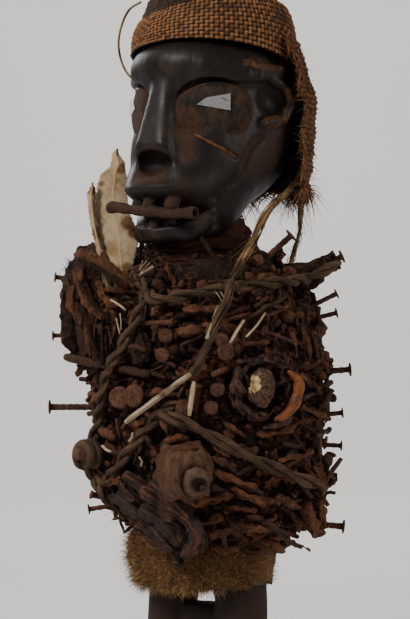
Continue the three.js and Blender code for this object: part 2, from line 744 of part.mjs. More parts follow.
const pegWinding = (grow) => {
  const near = PEG_WIDTH / 2 + CLEARANCE - grow;
  const far = PEG_WIDTH / 2 + CLEARANCE + SIDE_ROPE_WIDTH * 0.8 + grow;
  const from = 22 * step - grow;
  const to = from + PEG_TURNS * SIDE_ROPE_WIDTH * 0.75 + 2 * grow;
  const rounding = SIDE_ROPE_WIDTH / 4;
  const profile = [
    [near, from], [far - rounding, from], [far, from + rounding],
    [far, to - rounding], [far - rounding, to], [near, to], [near, from],
  ];
  return turned(pegFoot(), pegFoot().add(pegAxis), profile, 10);
};
const hipPeg = (grow) => {
  const length = PEG_LENGTH;
  const profile = [
    [0, -grow], [PEG_WIDTH / 2 + grow, -grow], [PEG_WIDTH / 2 + grow, length - 5 + grow],
    [PEG_WIDTH / 3 + grow, length + grow], [0, length + grow],
  ];
  return turned(pegFoot(), pegFoot().add(pegAxis), profile, 9);
};
const sideRope = (grow) => joined([
  rope(SIDE_ROPE_ABOVE_PEG, SIDE_ROPE_WIDTH, grow),
  rope(SIDE_ROPE_BELOW_PEG, SIDE_ROPE_WIDTH, grow),
  rope(SIDE_ROPE_END, SIDE_ROPE_WIDTH, grow),
  pegWinding(grow),
]);
const BELLY_ROPE = trail([
  [15, 363, 3], [19, 360, 7], [28.8, 353.5, 7], [39.4, 344, 7], [53, 331, 7], [67, 319, 7], [83.5, 308, 6],
  [98, 300, 5], [106, 295, 0],
]);

const twig = (grow) => rod(inView(-119, 22, 406), inView(-47, 82, 393), TWIG_WIDTH / 2, 7, grow);
const longReed = (grow) => rod(onCrust(-1, 354, 12), onCrust(30.6, 394, 14), REED_WIDTH / 2, 7, grow);
const shortReed = (grow) => rod(onCrust(32, 388, 10), onCrust(30, 360, 12), REED_WIDTH / 2, 6, grow);

const GRASS = trail([[30.6, 393, 7], [35, 407, 8], [39, 420, 8], [43, 436, 9], [48.4, 455, 15]]);
const grassBundle = (grow) => tube([...GRASS, inView(20, 86, 470)], RAFFIA_WIDTH * 1.5, grow, 7, 12);
// Raffia cord hanging from the cap's flap to the chest, and a loose strand beside it
const RAFFIA_TIE = viewTrail([
  [84, -14, 571], [79, -2, 558], [70, 14, 547], [59, 32, 538],
  [48, 50, 524], [39, 64, 505], [30, 76, 488], [21, 85, 473],
]);
const RAFFIA_RIBBON = viewTrail([
  [76, -16, 549], [80, -12, 530], [79, -9, 510], [74, -6, 494], [70, -4, 480],
]);
const CAP_LOOP = viewTrail([
  [-56, -4, CAP_TOP - 32], [-66, -7, CAP_TOP - 38], [-73, -9, CAP_TOP - 52], [-75.5, -9, CAP_TOP - 68],
  [-72, -8, CAP_TOP - 85], [-66, -5, CAP_TOP - 95], [-58, -3, CAP_TOP - 100],
]);

// Two wrapped pads and what is bound into them
const PACK_TURN = 66;
const packRing = (grow) => {
  const middle = onCrust(PACK_TURN, 382, 1);
  const profile = Array.from({ length: 6 }, (_, side) => {
    const turn = (2 * Math.PI * side) / 6;
    return [24 * step + (7.5 * step + grow) * Math.cos(turn), (9 * step + grow) * Math.sin(turn)];
  });
  profile.push(profile[0]);
  return turned(middle, middle.clone().add(outward(PACK_TURN - 8)), profile, 12);
};
const packStone = (grow) => {
  const radii = new THREE.Vector3(14, 14, 18).multiplyScalar(step);
  return lump(onCrust(PACK_TURN - 2, 383, 5), radii, 0.09, 5, grow, 6, 8);
};
const packPod = (grow) => tube(
  trail([[76, 396, 9], [80, 388, 12], [80, 376, 12], [76, 362, 11], [70, 356, 8]]),
  9 * step,
  grow,
  6,
  12,
);
const resinLump = (grow) => (
  lump(onCrust(4, 414, 2), new THREE.Vector3(16, 14, 18).multiplyScalar(step), 0.08, 2, grow, 7, 9)
);
const bellyPack = (grow) => (
  lump(onCrust(28, 312, -2), new THREE.Vector3(26, 26, 25).multiplyScalar(step), 0.05, 1, grow, 7, 10)
);
const navelShell = (grow) => {
  const middle = onCrust(33, 309, 16);
  const profile = [[0, -4], [13, -4], [13.5, 1], [11, 6], [6, 9], [0, 10]];
  const grown = profile.map(([reach, along], i) => [
    reach * step + (i > 0 && i < 5 ? grow : 0),
    along * step + (i < 2 ? -grow : grow),
  ]);
  return turned(middle, middle.clone().add(outward(33, -0.1)), grown, 12);
};
const discPair = (grow) => {
  const disc = (around, z) => {
    const middle = onCrust(around, z, 3);
    const front = middle.clone().addScaledVector(outward(10), DISC_THICKNESS);
    return rod(middle, front, DISC_WIDTH / 2, 12, grow);
  };
  return disc(-8, 374).add(disc(1, 376));
};

// Leather strips that fold out under the crust, over the fur
const LEATHER = [
  [[[-72, 66, 314], [-62, 74, 300], [-48, 76, 286], [-36, 77, 272], [-26, 76, 258], [-22, 73, 244]], 17],
  [[[-86, 52, 306], [-74, 60, 290], [-60, 66, 276], [-46, 69, 262], [-34, 70, 250]], 15],
  [[[-34, 84, 306], [-30, 86, 290], [-22, 82, 274], [-14, 76, 260], [-9, 70, 249]], 12],
  [[[-11.5, 80, 271], [-14, 80, 258], [-20.5, 79, 245], [-25, 77, 234]], 12],
];
const leatherFolds = (grow) => joined(
  LEATHER.map(([points, width]) => tube(viewTrail(points), width * step, grow, 6, 24)),
);

const BUNDLES = [
  [[[0, 84, 262], [25, 86, 267], [50, 80, 271]], 1],
  [[[18, 90, 296], [40, 88, 292], [60, 80, 288]], 0.9],
  [[[40, 78, 256], [58, 70, 258], [74, 60, 262]], 0.75],
  [[[86, 44, 296], [94, 40, 280], [96, 34, 262]], 1.3],
  [[[60, 82, 262], [74, 74, 254], [86, 62, 247]], 0.45],
];
const bundle = (index, grow) => tube(
  viewTrail(BUNDLES[index][0]),
  BUNDLE_WIDTH * BUNDLES[index][1],
  grow,
  6,
  14,
);

// Strip of hide with its fur, tied around the hips
const SKIRT = [
  [208, 61, 58, 51, 51],
  [215, 69, 65, 57, 57],
  [235, 72, 66, 58, 58],
  [256, 73, 64, 57, 57],
  [264, 66, 58, 53, 53],
];
function skirt(grow) {
  const rings = SKIRT.map(([z, ...reach]) => Array.from({ length: 16 }, (_, side) => {
    const turn = (2 * Math.PI * side) / 16;
    const out = aroundFour(reach, turn) * step + grow;
    return new THREE.Vector3(Math.sin(turn) * out, -Math.cos(turn) * out, z * step);
  }));
  rings[0].forEach((p) => { p.z -= grow; });
  rings.at(-1).forEach((p) => { p.z += grow; });
  return solid(skin(rings));
}

// Every piece: its name, how it is made, and its colour, roughness and metalness.
// Each is cut to clear those listed before it.

const WOOD = [0x241a16, 0.35, 0];
const ROPE = [0x4a4136, 0.9, 0];
const IRON = [0x4a3028, 0.7, 0.4];
const RAFFIA = [0x7a6040, 0.85, 0];
const EARTH = [0x4a3026, 0.95, 0];
const LEATHER_LOOK = [0x4a3630, 0.75, 0];
const PIECES = [
  ['eye_mirror_left', (grow) => mirror(1, grow), [0xc8ccd0, 0.08, 1]],
  ['eye_mirror_right', (grow) => mirror(-1, grow), [0xc8ccd0, 0.08, 1]],
  ['mouth_stick', mouthStick, [0x3a2620, 0.7, 0]],
  ['figure', wholeFigure, WOOD],
  ['cap', cap, [0x6b4526, 0.95, 0]],
  ['cap_loop', (grow) => tube(CAP_LOOP, LOOP_WIDTH, grow, 6, 8), RAFFIA],
  ['feather_large', (grow) => feather(LARGE_FEATHER, 46, 0.52, grow), [0xcdbfa4, 0.8, 0]],
  ['feather_small', (grow) => feather(SMALL_FEATHER, 50, 0.46, grow), [0xc4b596, 0.8, 0]],
  ['shoulder_knot', shoulderKnot, EARTH],
  ['chest_rope', (grow) => rope(CHEST_ROPE, CHEST_ROPE_WIDTH, grow), ROPE],
  ['hip_peg', hipPeg, [0x5a3526, 0.8, 0]],
  ['side_rope', sideRope, ROPE],
  ['belly_rope', (grow) => rope(BELLY_ROPE, BELLY_ROPE_WIDTH, grow), ROPE],
  ['raffia_tie', (grow) => tube(RAFFIA_TIE, RAFFIA_WIDTH, grow, 8, 16), RAFFIA],
  ['raffia_ribbon', (grow) => tube(RAFFIA_RIBBON, RIBBON_WIDTH, grow, 8, 12), RAFFIA],
  ['reed_long', longReed, [0xb8ad98, 0.7, 0]],
  ['reed_short', shortReed, [0xa79c88, 0.7, 0]],
  ['side_twig', twig, [0x3c2822, 0.85, 0]],
  ['stub_nail', stubNail, IRON],
  ...NAILS.map((spec, i) => [`nail_${String(i + 1).padStart(2, '0')}`, (grow) => driven(spec, grow), IRON]),
  ...LYING_NAILS.map((spec, i) => [`lying_nail_${i + 1}`, (grow) => lyingNail(spec, grow), IRON]),
  ['disc_pair', discPair, IRON],
  ['grass_bundle', grassBundle, RAFFIA],
  ['pack_stone', packStone, [0x6a5a50, 0.9, 0]],
  ['pack_pod', packPod, [0x7a4424, 0.6, 0]],
  ['pack_ring', packRing, LEATHER_LOOK],
  ['navel_shell', navelShell, [0x5a463c, 0.8, 0]],
  ['belly_pack', bellyPack, EARTH],
  ['resin_lump', resinLump, EARTH],
  ['leather_folds', leatherFolds, LEATHER_LOOK],
  ...BUNDLES.map((_, i) => [`bundle_${i + 1}`, (grow) => bundle(i, grow), EARTH]),
  ['shoulder_stub', shoulderStub, EARTH],
  ['shoulder_bundle', shoulderBundle, LEATHER_LOOK],
  ['neck_wrap', neckWrap, [0x3a221c, 0.9, 0]],
  ['fur_skirt', skirt, [0x8a6a3c, 0.95, 0]],
  ['crust', crust, EARTH],
];

const boxesMeet = (a, b) => [0, 1, 2].every((i) => a.min[i] < b.max[i] && b.min[i] < a.max[i]);

const root = new THREE.Group();
const earlier = [];
PIECES.forEach(([name, make, [colour, roughness, metalness]]) => {
  let body = make(0);
  earlier.forEach((other) => {
    if (boxesMeet(other.boundingBox(), body.boundingBox())) body = body.subtract(other);
  });
  earlier.push(make(CLEARANCE));
  const material = new THREE.MeshStandardMaterial({ color: colour, roughness, metalness });
  const mesh = new THREE.Mesh(geometryOf(largest(body)), material);
  mesh.name = name;
  root.add(mesh);
});

export default root;
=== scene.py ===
import json
import math

import bmesh
import bpy
import numpy as np
import openvdb
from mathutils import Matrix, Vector, noise
from mathutils.bvhtree import BVHTree

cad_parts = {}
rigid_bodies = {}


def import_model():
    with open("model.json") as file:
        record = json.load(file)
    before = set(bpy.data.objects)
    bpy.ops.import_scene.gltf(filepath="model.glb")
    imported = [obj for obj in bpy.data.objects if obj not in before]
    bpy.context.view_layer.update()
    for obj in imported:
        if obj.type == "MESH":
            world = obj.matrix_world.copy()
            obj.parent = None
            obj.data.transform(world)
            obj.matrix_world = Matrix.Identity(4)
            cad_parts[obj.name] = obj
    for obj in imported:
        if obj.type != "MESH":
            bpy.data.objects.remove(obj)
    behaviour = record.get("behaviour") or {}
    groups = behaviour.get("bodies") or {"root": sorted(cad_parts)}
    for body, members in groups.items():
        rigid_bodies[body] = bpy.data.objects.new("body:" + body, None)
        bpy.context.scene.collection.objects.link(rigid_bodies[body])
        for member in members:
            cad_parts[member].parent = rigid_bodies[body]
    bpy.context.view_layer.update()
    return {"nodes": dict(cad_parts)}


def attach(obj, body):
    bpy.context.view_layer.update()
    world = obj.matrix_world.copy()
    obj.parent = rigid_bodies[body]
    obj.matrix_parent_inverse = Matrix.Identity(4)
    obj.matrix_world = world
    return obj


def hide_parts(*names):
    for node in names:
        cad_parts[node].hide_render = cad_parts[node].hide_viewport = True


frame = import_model()
nodes = frame["nodes"]


# Camera, floor and light. The camera stands at the figure's front left quarter, level with
# its chest, and looks straight across. The floor is a plain pale sheet that curves up behind.

VIEW_TURN = math.radians(38)
VIEW_DISTANCE = 2.0
VIEW_HEIGHT = 0.446
VIEW_ASIDE = -0.0017
PICTURE_HEIGHT = 0.52615

toward_camera = Vector((math.sin(VIEW_TURN), -math.cos(VIEW_TURN), 0))
to_the_right = Vector((math.cos(VIEW_TURN), math.sin(VIEW_TURN), 0))
camera_data = bpy.data.cameras.new("camera")
camera_data.sensor_width = 36
camera_data.lens = 36 * VIEW_DISTANCE / PICTURE_HEIGHT
camera = bpy.data.objects.new("camera", camera_data)
camera.location = toward_camera * VIEW_DISTANCE + to_the_right * VIEW_ASIDE
camera.location.z = VIEW_HEIGHT
camera.rotation_euler = (math.pi / 2, 0, VIEW_TURN)
bpy.context.scene.collection.objects.link(camera)
bpy.context.scene.camera = camera


class Wire:
    """A socket's value, which adds and multiplies like a number."""

    def __init__(self, look, socket):
        self.look = look
        self.socket = socket

    def _sum(self, operation, a, b):
        return self.look.node("ShaderNodeMath", {"operation": operation}, {0: a, 1: b})

    def __add__(self, other):
        return self._sum("ADD", self, other)

    def __radd__(self, other):
        return self._sum("ADD", other, self)

    def __sub__(self, other):
        return self._sum("SUBTRACT", self, other)

    def __rsub__(self, other):
        return self._sum("SUBTRACT", other, self)

    def __mul__(self, other):
        return self._sum("MULTIPLY", self, other)

    def __rmul__(self, other):
        return self._sum("MULTIPLY", other, self)


class Look:
    """A material on one Principled shader, read in Object coordinates."""

    def __init__(self, name, **plain):
        self.material = bpy.data.materials.new(name)
        self.material.use_nodes = True
        self.tree = self.material.node_tree
        self.shader = self.tree.nodes["Principled BSDF"]
        self.shader.inputs["Specular IOR Level"].default_value = 0.2
        for socket, value in plain.items():
            self.shader.inputs[socket.replace("_", " ").title()].default_value = value
        self.place = self.node("ShaderNodeTexCoord", out="Object")

    def node(self, kind, settings=None, sockets=None, out=0):
        made = self.tree.nodes.new(kind)
        for name, value in (settings or {}).items():
            setattr(made, name, value)
        for name, value in (sockets or {}).items():
            self.feed(made.inputs[name], value)
        return Wire(self, made.outputs[out])

    def feed(self, socket, value):
        if isinstance(value, Wire):
            self.tree.links.new(value.socket, socket)
        else:
            socket.default_value = value

    def set(self, **sockets):
        for name, value in sockets.items():
            self.feed(self.shader.inputs[name.replace("_", " ").title()], value)

    def speckle(self, scale, detail=4, roughness=0.6, at=None, stretch=None):
        """Cloudy noise from 0 to 1. A stretch under 1 makes its grains longer along that axis."""
        place = self.place if at is None else at
        if stretch:
            place = self.node("ShaderNodeMapping", None, {"Vector": place, "Scale": stretch})
        return self.node(
            "ShaderNodeTexNoise",
            None,
            {"Vector": place, "Scale": scale, "Detail": detail, "Roughness": roughness},
        )

    def part(self, value, low, high):
        """0 below low, 1 above high, and smooth between."""
        return self.node(
            "ShaderNodeMapRange",
            {"interpolation_type": "SMOOTHSTEP"},
            {"Value": value, "From Min": low, "From Max": high},
        )

    def mixed(self, share, below, above):
        """A colour between two, by a share from 0 to 1."""
        colours = [(*c, 1) if isinstance(c, tuple) else c for c in (below, above)]
        return self.node(
            "ShaderNodeMix",
            {"data_type": "RGBA"},
            {0: share, 6: colours[0], 7: colours[1]},
            2,
        )

    def patched(self, patches, streaks, below, above):
        """Patches between two pairs of colours, each pair mixed by the same streaks."""
        return self.mixed(patches, self.mixed(streaks, *below), self.mixed(streaks, *above))

    def attribute(self, name, out="Fac"):
        return self.node("ShaderNodeAttribute", {"attribute_name": name}, None, out)

    def streaks(self, scale, detail, stretch, roughness=0.6):
        """Cloudy noise drawn out along a piece's own grain."""
        grain = self.attribute("grain", "Vector")
        return self.speckle(scale, detail, roughness, grain, (1, 1, stretch))

    def bump(self, height, depth, strength):
        bumped = self.node(
            "ShaderNodeBump", None, {"Height": height, "Distance": depth, "Strength": strength}
        )
        self.feed(self.shader.inputs["Normal"], bumped)


floor_look = Look("studio_floor", roughness=0.9)
floor_tone = floor_look.speckle(3)
floor_look.set(base_color=floor_look.mixed(floor_tone, (0.84, 0.83, 0.82), (0.88, 0.87, 0.86)))


FLOOR_FRONT = 6
FLOOR_BACK = -3.8
WALL_CURVE = 1.6
WALL_TOP = 4


def sweep_of_floor():
    """A level sheet that curves up into a wall behind the figure."""
    profile = [(FLOOR_FRONT, 0), (FLOOR_BACK, 0)]
    for turn in np.linspace(0, math.pi / 2, 13)[1:]:
        profile.append((FLOOR_BACK - WALL_CURVE * math.sin(turn), WALL_CURVE * (1 - math.cos(turn))))
    profile.append((FLOOR_BACK - WALL_CURVE, WALL_TOP))
    corners = []
    for toward, up in profile:
        for aside in (-6, 6):
            corners.append(toward_camera * toward + to_the_right * aside + Vector((0, 0, up)))
    faces = [(i, i + 1, i + 3, i + 2) for i in range(0, len(corners) - 2, 2)]
    mesh = bpy.data.meshes.new("floor")
    mesh.from_pydata(corners, [], faces)
    mesh.shade_smooth()
    mesh.materials.append(floor_look.material)
    return bpy.data.objects.new("floor", mesh)


floor = sweep_of_floor()
bpy.context.scene.collection.objects.link(floor)

world = bpy.data.worlds.new("studio")
world.use_nodes = True
world.node_tree.nodes["Background"].inputs["Color"].default_value = (1.0, 0.96, 0.9, 1)
world.node_tree.nodes["Background"].inputs["Strength"].default_value = 0.24
bpy.context.scene.world = world


def soft_light(name, aside, toward, up, power, size, colour=(1, 1, 1), aim=(0, 0.5)):
    data = bpy.data.lights.new(name, "AREA")
    data.energy = power
    data.size = size
    data.color = colour
    lamp = bpy.data.objects.new(name, data)
    lamp.location = to_the_right * aside + toward_camera * toward + Vector((0, 0, up))
    way = toward_camera * aim[0] + Vector((0, 0, aim[1])) - lamp.location
    lamp.rotation_euler = way.to_track_quat("-Z", "Y").to_euler()
    bpy.context.scene.collection.objects.link(lamp)


soft_light("key", -1.1, 1.0, 1.5, 34, 0.5, (1.0, 0.96, 0.9))
soft_light("right_side", 1.4, 0.5, 0.9, 10, 0.5, (1.0, 0.93, 0.84))
soft_light("back_left", -0.9, -1.0, 1.2, 9, 0.5)
soft_light("backdrop", 0, -2.2, 3.2, 110, 2, aim=(-5.4, 0.6))


# Loose raffia and string: a frayed raffia tie that hangs from the cap's flap to the chest,
# a thinner strand beside it, and a string loop at the cap's edge. Palm fibre, tied in.

STEP = 0.001
RAFFIA_TIE_WIDTH = 0.007
RAFFIA_RIBBON_WIDTH = 0.005
CAP_LOOP_WIDTH = 0.0022


def in_view(aside, along, z):
    """A point by how far it is to the right of the view, how far towards the camera, and up."""
    return np.array([
        aside * math.cos(VIEW_TURN) + along * math.sin(VIEW_TURN),
        aside * math.sin(VIEW_TURN) - along * math.cos(VIEW_TURN),
        z,
    ]) * STEP


def path_in_view(places):
    """Points at several such places."""
    return [in_view(*place) for place in places]


def gone_along(line):
    """How far along a line each of its points lies."""
    return np.concatenate([[0], np.cumsum(np.linalg.norm(np.diff(line, axis=0), axis=1))])


def through(points, spacing):
    """Evenly spaced points on the smooth curve through the given ones."""
    given = [np.asarray(p, float) for p in points]
    given = [2 * given[0] - given[1], *given, 2 * given[-1] - given[-2]]
    fine = []
    for p0, p1, p2, p3 in zip(given, given[1:], given[2:], given[3:]):
        a, b, c = (math.sqrt(np.linalg.norm(q - p)) for p, q in ((p0, p1), (p1, p2), (p2, p3)))
        leave = ((p1 - p0) / a - (p2 - p0) / (a + b) + (p2 - p1) / b) * b
        arrive = ((p2 - p1) / b - (p3 - p1) / (b + c) + (p3 - p2) / c) * b
        for t in np.arange(24) / 24:
            fine.append(
                p1 + leave * t
                + (3 * (p2 - p1) - 2 * leave - arrive) * t ** 2
                + (2 * (p1 - p2) + leave + arrive) * t ** 3
            )
    fine = np.array([*fine, given[-2]])
    gone = gone_along(fine)
    count = max(3, round(gone[-1] / spacing) + 1)
    even = np.linspace(0, gone[-1], count)
    return np.stack([np.interp(even, gone, fine[:, i]) for i in range(3)], 1)


def frames_along(line, facing=None):
    """Two directions across the line at each of its points, carried along without twist, or
    with the second held to face one way."""
    run = np.gradient(line, axis=0)
    run /= np.linalg.norm(run, axis=1)[:, None]
    if facing is not None:
        over = np.array(facing) - run * (run @ np.array(facing))[:, None]
        over /= np.linalg.norm(over, axis=1)[:, None]
        return np.cross(over, run), over
    start = np.cross(run[0], [0.3, 0.2, 0.93])
    across = [start / np.linalg.norm(start)]
    for way in run[1:]:
        kept = across[-1] - way * (across[-1] @ way)
        across.append(kept / np.linalg.norm(kept))
    across = np.array(across)
    return across, np.cross(run, across)


def tube(line, widths, sides, flat=1.0, turns=0.0, facing=None):
    """Points, faces and grain of a closed tube; flat squeezes its section, turns twist it."""
    across, over = frames_along(line, facing)
    widths = np.broadcast_to(widths, len(line))
    gone = gone_along(line)
    points, grain = [], []
    for i, (middle, width) in enumerate(zip(line, widths)):
        twist = 2 * math.pi * turns * i / (len(line) - 1)
        for side in range(sides):
            turn = 2 * math.pi * side / sides
            u = math.cos(turn) * width / 2
            v = math.sin(turn) * width / 2 * flat
            points.append(
                middle
                + across[i] * (u * math.cos(twist) - v * math.sin(twist))
                + over[i] * (u * math.sin(twist) + v * math.cos(twist))
            )
            grain.append((u, v, gone[i]))
    faces = []
    for i in range(len(line) - 1):
        for side in range(sides):
            a = i * sides + side
            b = i * sides + (side + 1) % sides
            faces.append((a, b, b + sides, a + sides))
    faces.append(tuple(reversed(range(sides))))
    faces.append(tuple(range(len(points) - sides, len(points))))
    return np.array(points), faces, np.array(grain)


def gathered(parts):
    """Several shapes as one."""
    faces, start = [], 0
    for points, some_faces, _ in parts:
        faces += [tuple(start + i for i in face) for face in some_faces]
        start += len(points)
    return np.concatenate([p[0] for p in parts]), faces, np.concatenate([p[2] for p in parts])


def grained(mesh, grain):
    """The grain at each point of a mesh, for streaks that follow its shape."""
    mesh.attributes.new("grain", "FLOAT_VECTOR", "POINT").data.foreach_set(
        "vector", np.asarray(grain, np.float32).ravel()
    )


def piece(name, made, look, slot, *stands_for):
    """A finished piece on the figure, turned as a whole if its faces point inwards."""
    points, faces, grain = made
    mesh = bpy.data.meshes.new(name)
    mesh.from_pydata(np.asarray(points, float).tolist(), [], faces)
    mesh.validate()
    shape = bmesh.new()
    shape.from_mesh(mesh)
    if shape.calc_volume(signed=True) < 0:
        bmesh.ops.reverse_faces(shape, faces=shape.faces)
    shape.to_mesh(mesh)
    shape.free()
    grained(mesh, grain)
    return dressed(name, mesh, look, slot, *stands_for)


def dressed(name, mesh, look, slot, *stands_for):
    """A mesh as a finished piece, in its material and held by the figure."""
    mesh.shade_smooth()
    mesh.materials.clear()
    mesh.materials.append(look.material)
    made = bpy.data.objects.new(name, mesh)
    bpy.context.scene.collection.objects.link(made)
    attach(made, "root")
    if stands_for:
        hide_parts(*stands_for)
    return made


raffia_look = Look("raffia", roughness=0.75)
raffia_streak = raffia_look.streaks(420, 3, 0.12)
raffia_patch = raffia_look.speckle(60)
raffia_pale = raffia_look.mixed(raffia_streak, (0.09, 0.046, 0.018), (0.36, 0.235, 0.11))
raffia_look.set(
    base_color=raffia_look.mixed(
        raffia_look.part(raffia_patch, 0.35, 0.62), (0.035, 0.017, 0.009), raffia_pale
    )
)
raffia_look.bump(raffia_streak, 0.0012, 0.7)

fibre_dice = np.random.default_rng(11)


def stray_fibres(line, count, reach, width, droop, spray, lean=None):
    """Thin fibres that leave a line, each a tapering three-sided blade."""
    across, over = frames_along(line)
    parts = []
    for _ in range(count):
        i = fibre_dice.integers(0, len(line))
        turn = fibre_dice.uniform(0, 2 * math.pi)
        way = across[i] * math.cos(turn) + over[i] * math.sin(turn)
        run = line[min(i + 1, len(line) - 1)] - line[max(i - 1, 0)]
        run = run / np.linalg.norm(run) * (fibre_dice.choice([-1, 1]) if lean is None else lean)
        way = way * spray + run * fibre_dice.uniform(0.4, 1.6)
        way /= np.linalg.norm(way)
        bend = fibre_dice.normal(0, 0.35, 3) - np.array([0, 0, droop])
        length = reach * fibre_dice.uniform(0.4, 1.0)
        steps = np.linspace(0, 1, 5)[:, None]
        blade = line[i] + (way * steps + bend * steps ** 2 * 0.5) * length
        parts.append(tube(blade, width * (1.05 - steps[:, 0]), 3))
    return gathered(parts)


def stranded(line, width, count):
    """Loose strands that wind slowly round a line and together make one frayed cord."""
    across, over = frames_along(line)
    share = np.linspace(0, 1, len(line))
    parts = [tube(line, width * 0.5, 8)]
    for _ in range(count):
        start, turns = fibre_dice.uniform(0, 2 * math.pi), fibre_dice.uniform(-1.2, 1.2)
        turn = (start + 2 * math.pi * turns * share)[:, None]
        far = width * 0.36 * (1 + 0.25 * np.sin(share * fibre_dice.uniform(5, 20) + start))[:, None]
        path = line + (across * np.cos(turn) + over * np.sin(turn)) * far
        parts.append(tube(path, width * fibre_dice.uniform(0.12, 0.28), 5, 0.6, turns))
    return gathered(parts)


tie_line = through(path_in_view([
    (84, -14, 571), (79, -2, 558), (70, 14, 547), (59, 32, 538),
    (48, 50, 524), (39, 64, 505), (30, 76, 488), (21, 85, 473),
]), 0.0025)
raffia_tie = piece(
    "raffia_tie_cord", stranded(tie_line, RAFFIA_TIE_WIDTH, 22), raffia_look, "raffia", "raffia_tie"
)
tie_fray = piece(
    "raffia_tie_fray",
    gathered([
        stray_fibres(tie_line, 150, 0.026, 0.001, 0.3, 0.22),
        stray_fibres(tie_line[:12], 40, 0.03, 0.001, 0.6, 0.35, -1),
    ]),
    raffia_look,
    "raffia",
)

ribbon_line = through(path_in_view([
    (76, -16, 549), (80, -12, 530), (79, -9, 510), (74, -6, 494), (70, -4, 480),
]), 0.0025)
raffia_ribbon = piece(
    "raffia_ribbon_cord", stranded(ribbon_line, RAFFIA_RIBBON_WIDTH, 14),
    raffia_look, "raffia", "raffia_ribbon",
)
ribbon_fray = piece(
    "raffia_ribbon_fray",
    stray_fibres(ribbon_line, 40, 0.022, 0.0009, 0.3, 0.4),
    raffia_look, "raffia",
)

loop_line = through(path_in_view([
    (-56, -4, 708), (-66, -7, 702), (-73, -9, 688), (-75.5, -9, 672),
    (-72, -8, 655), (-66, -5, 645), (-58, -3, 640),
]), 0.0015)
cap_loop = piece(
    "cap_loop_string", tube(loop_line, CAP_LOOP_WIDTH, 8), raffia_look, "raffia", "cap_loop"
)


# The carved figure: head, neck, trunk, legs and low base from one block of dark, oiled wood.
# The head is cut in broad planes, with hollow eyes packed with resin and peg teeth in an open mouth.

def ellipsoid(p, middle, radii):
    """Distance to an egg shape, below zero within, as every distance here is."""
    off = [p[i] - middle[i] for i in range(3)]
    near = np.sqrt(sum((gone / r) ** 2 for gone, r in zip(off, radii)))
    slope = np.sqrt(sum((gone / r ** 2) ** 2 for gone, r in zip(off, radii)))
    return near * (near - 1) / np.maximum(slope, 1e-6)


def bar(p, start, end, radius):
    """Distance to a straight round bar with rounded ends."""
    run = [e - s for s, e in zip(start, end)]
    gone = [p[i] - start[i] for i in range(3)]
    along = np.clip(sum(r * g for r, g in zip(run, gone)) / sum(r * r for r in run), 0, 1)
    return np.sqrt(sum((g - r * along) ** 2 for r, g in zip(run, gone))) - radius


def blend(a, b, soft):
    """Two forms run together, with a hollow that soft wide where they meet."""
    share = np.clip(0.5 + 0.5 * (b - a) / soft, 0, 1)
    return b + (a - b) * share - soft * share * (1 - share)


def carve(a, b, soft):
    """The first form with the second cut out of it."""
    return -blend(-a, b, soft)


MIRROR_SEAT = (43.5, -47)
MIRROR_TURN = math.radians(42)
RESIN_BEHIND_MIRROR = 10.2
RESIN_MIDDLE = (1, 0, 611)
RESIN_RADII = (32, 9.8, 24)
SCAR = [(-11, 591), (2, 584), (13, 579), (24, 572)]
CHEEK_CREASE = [(45, 590), (38, 583), (32, 573), (29, 563), (23, 555), (15, 548), (7, 539)]
EAR_RIM = [(65, 8, 637), (69, 20, 632), (71, 25, 618), (68, 16, 605), (64, -5, 601)]


def square_to_eye(p):
    """How far aside from an eye's middle, and how far out along the way its mirror faces."""
    x, y = p[0] - MIRROR_SEAT[0], p[1] - MIRROR_SEAT[1]
    sine, cosine = math.sin(MIRROR_TURN), math.cos(MIRROR_TURN)
    return y * sine + x * cosine, x * sine - y * cosine + RESIN_BEHIND_MIRROR


def eye_resin(p):
    """Distance to the slab of resin that fills an eye hollow."""
    return ellipsoid([*square_to_eye(p), p[2]], RESIN_MIDDLE, RESIN_RADII)


def eye_rim(p):
    """Distance from the slab's rim as seen square to it, below zero within."""
    aside = (square_to_eye(p)[0] - RESIN_MIDDLE[0]) / RESIN_RADII[0]
    up = (p[2] - RESIN_MIDDLE[2]) / RESIN_RADII[2]
    return (np.hypot(aside, up) - 1) * 26


def eye_crease(p):
    """Distance to the groove between the slab and the brow over it."""
    aside, out = square_to_eye(p)
    wide = 2.3 - 1.8 * np.clip((aside + 2) / 30, 0, 1)
    return np.maximum(np.hypot(eye_rim(p) - 1, (out - 4) * 0.35) - wide, 604 - p[2])


def drawn(p, path):
    """Distance to a path drawn on the front of the head as the camera sees it."""
    aside = p[0] * math.cos(VIEW_TURN) + p[1] * math.sin(VIEW_TURN)
    near = [bar([aside, p[2], 0], (*a, 0), (*b, 0), 0) for a, b in zip(path, path[1:])]
    return np.maximum(np.minimum.reduce(near), p[1])


def nose(p):
    """Distance to the nose, a wedge that widens downwards and is cut flat below."""
    low = (650 - p[2]) / 70
    side = (p[0] - 9 - 9 * low) * 0.96
    front = (-p[1] - 61 - 19 * low) * 0.95
    underside = 0.82 * (p[1] + 79) + 0.57 * (p[2] - 581)
    ridge = np.maximum(np.maximum(-blend(-side, -front, 10), p[1] + 30), p[2] - 662)
    return carve(ridge, underside, 2)


def ear_rim(p):
    """Distance to the raised rim behind and under the ear's hollow."""
    return np.minimum.reduce([bar(p, a, b, 4) for a, b in zip(EAR_RIM, EAR_RIM[1:])])


def teeth(q):
    """Distance to the peg teeth, three above and three below, each set a little askew."""
    pegs = [bar(q, (x, y + 5, 546), (x + lean, y - 2, 531), 6.3)
            for x, y, lean in ((-17, -70, 1.5), (0, -74, -1), (18, -70, 1))]
    pegs += [bar(q, (x, y + 3, 508), (x + lean, y, 517), 5.5)
             for x, y, lean in ((-13, -64, 2), (-1, -67, -1), (13, -64, -2))]
    return np.minimum.reduce(pegs)


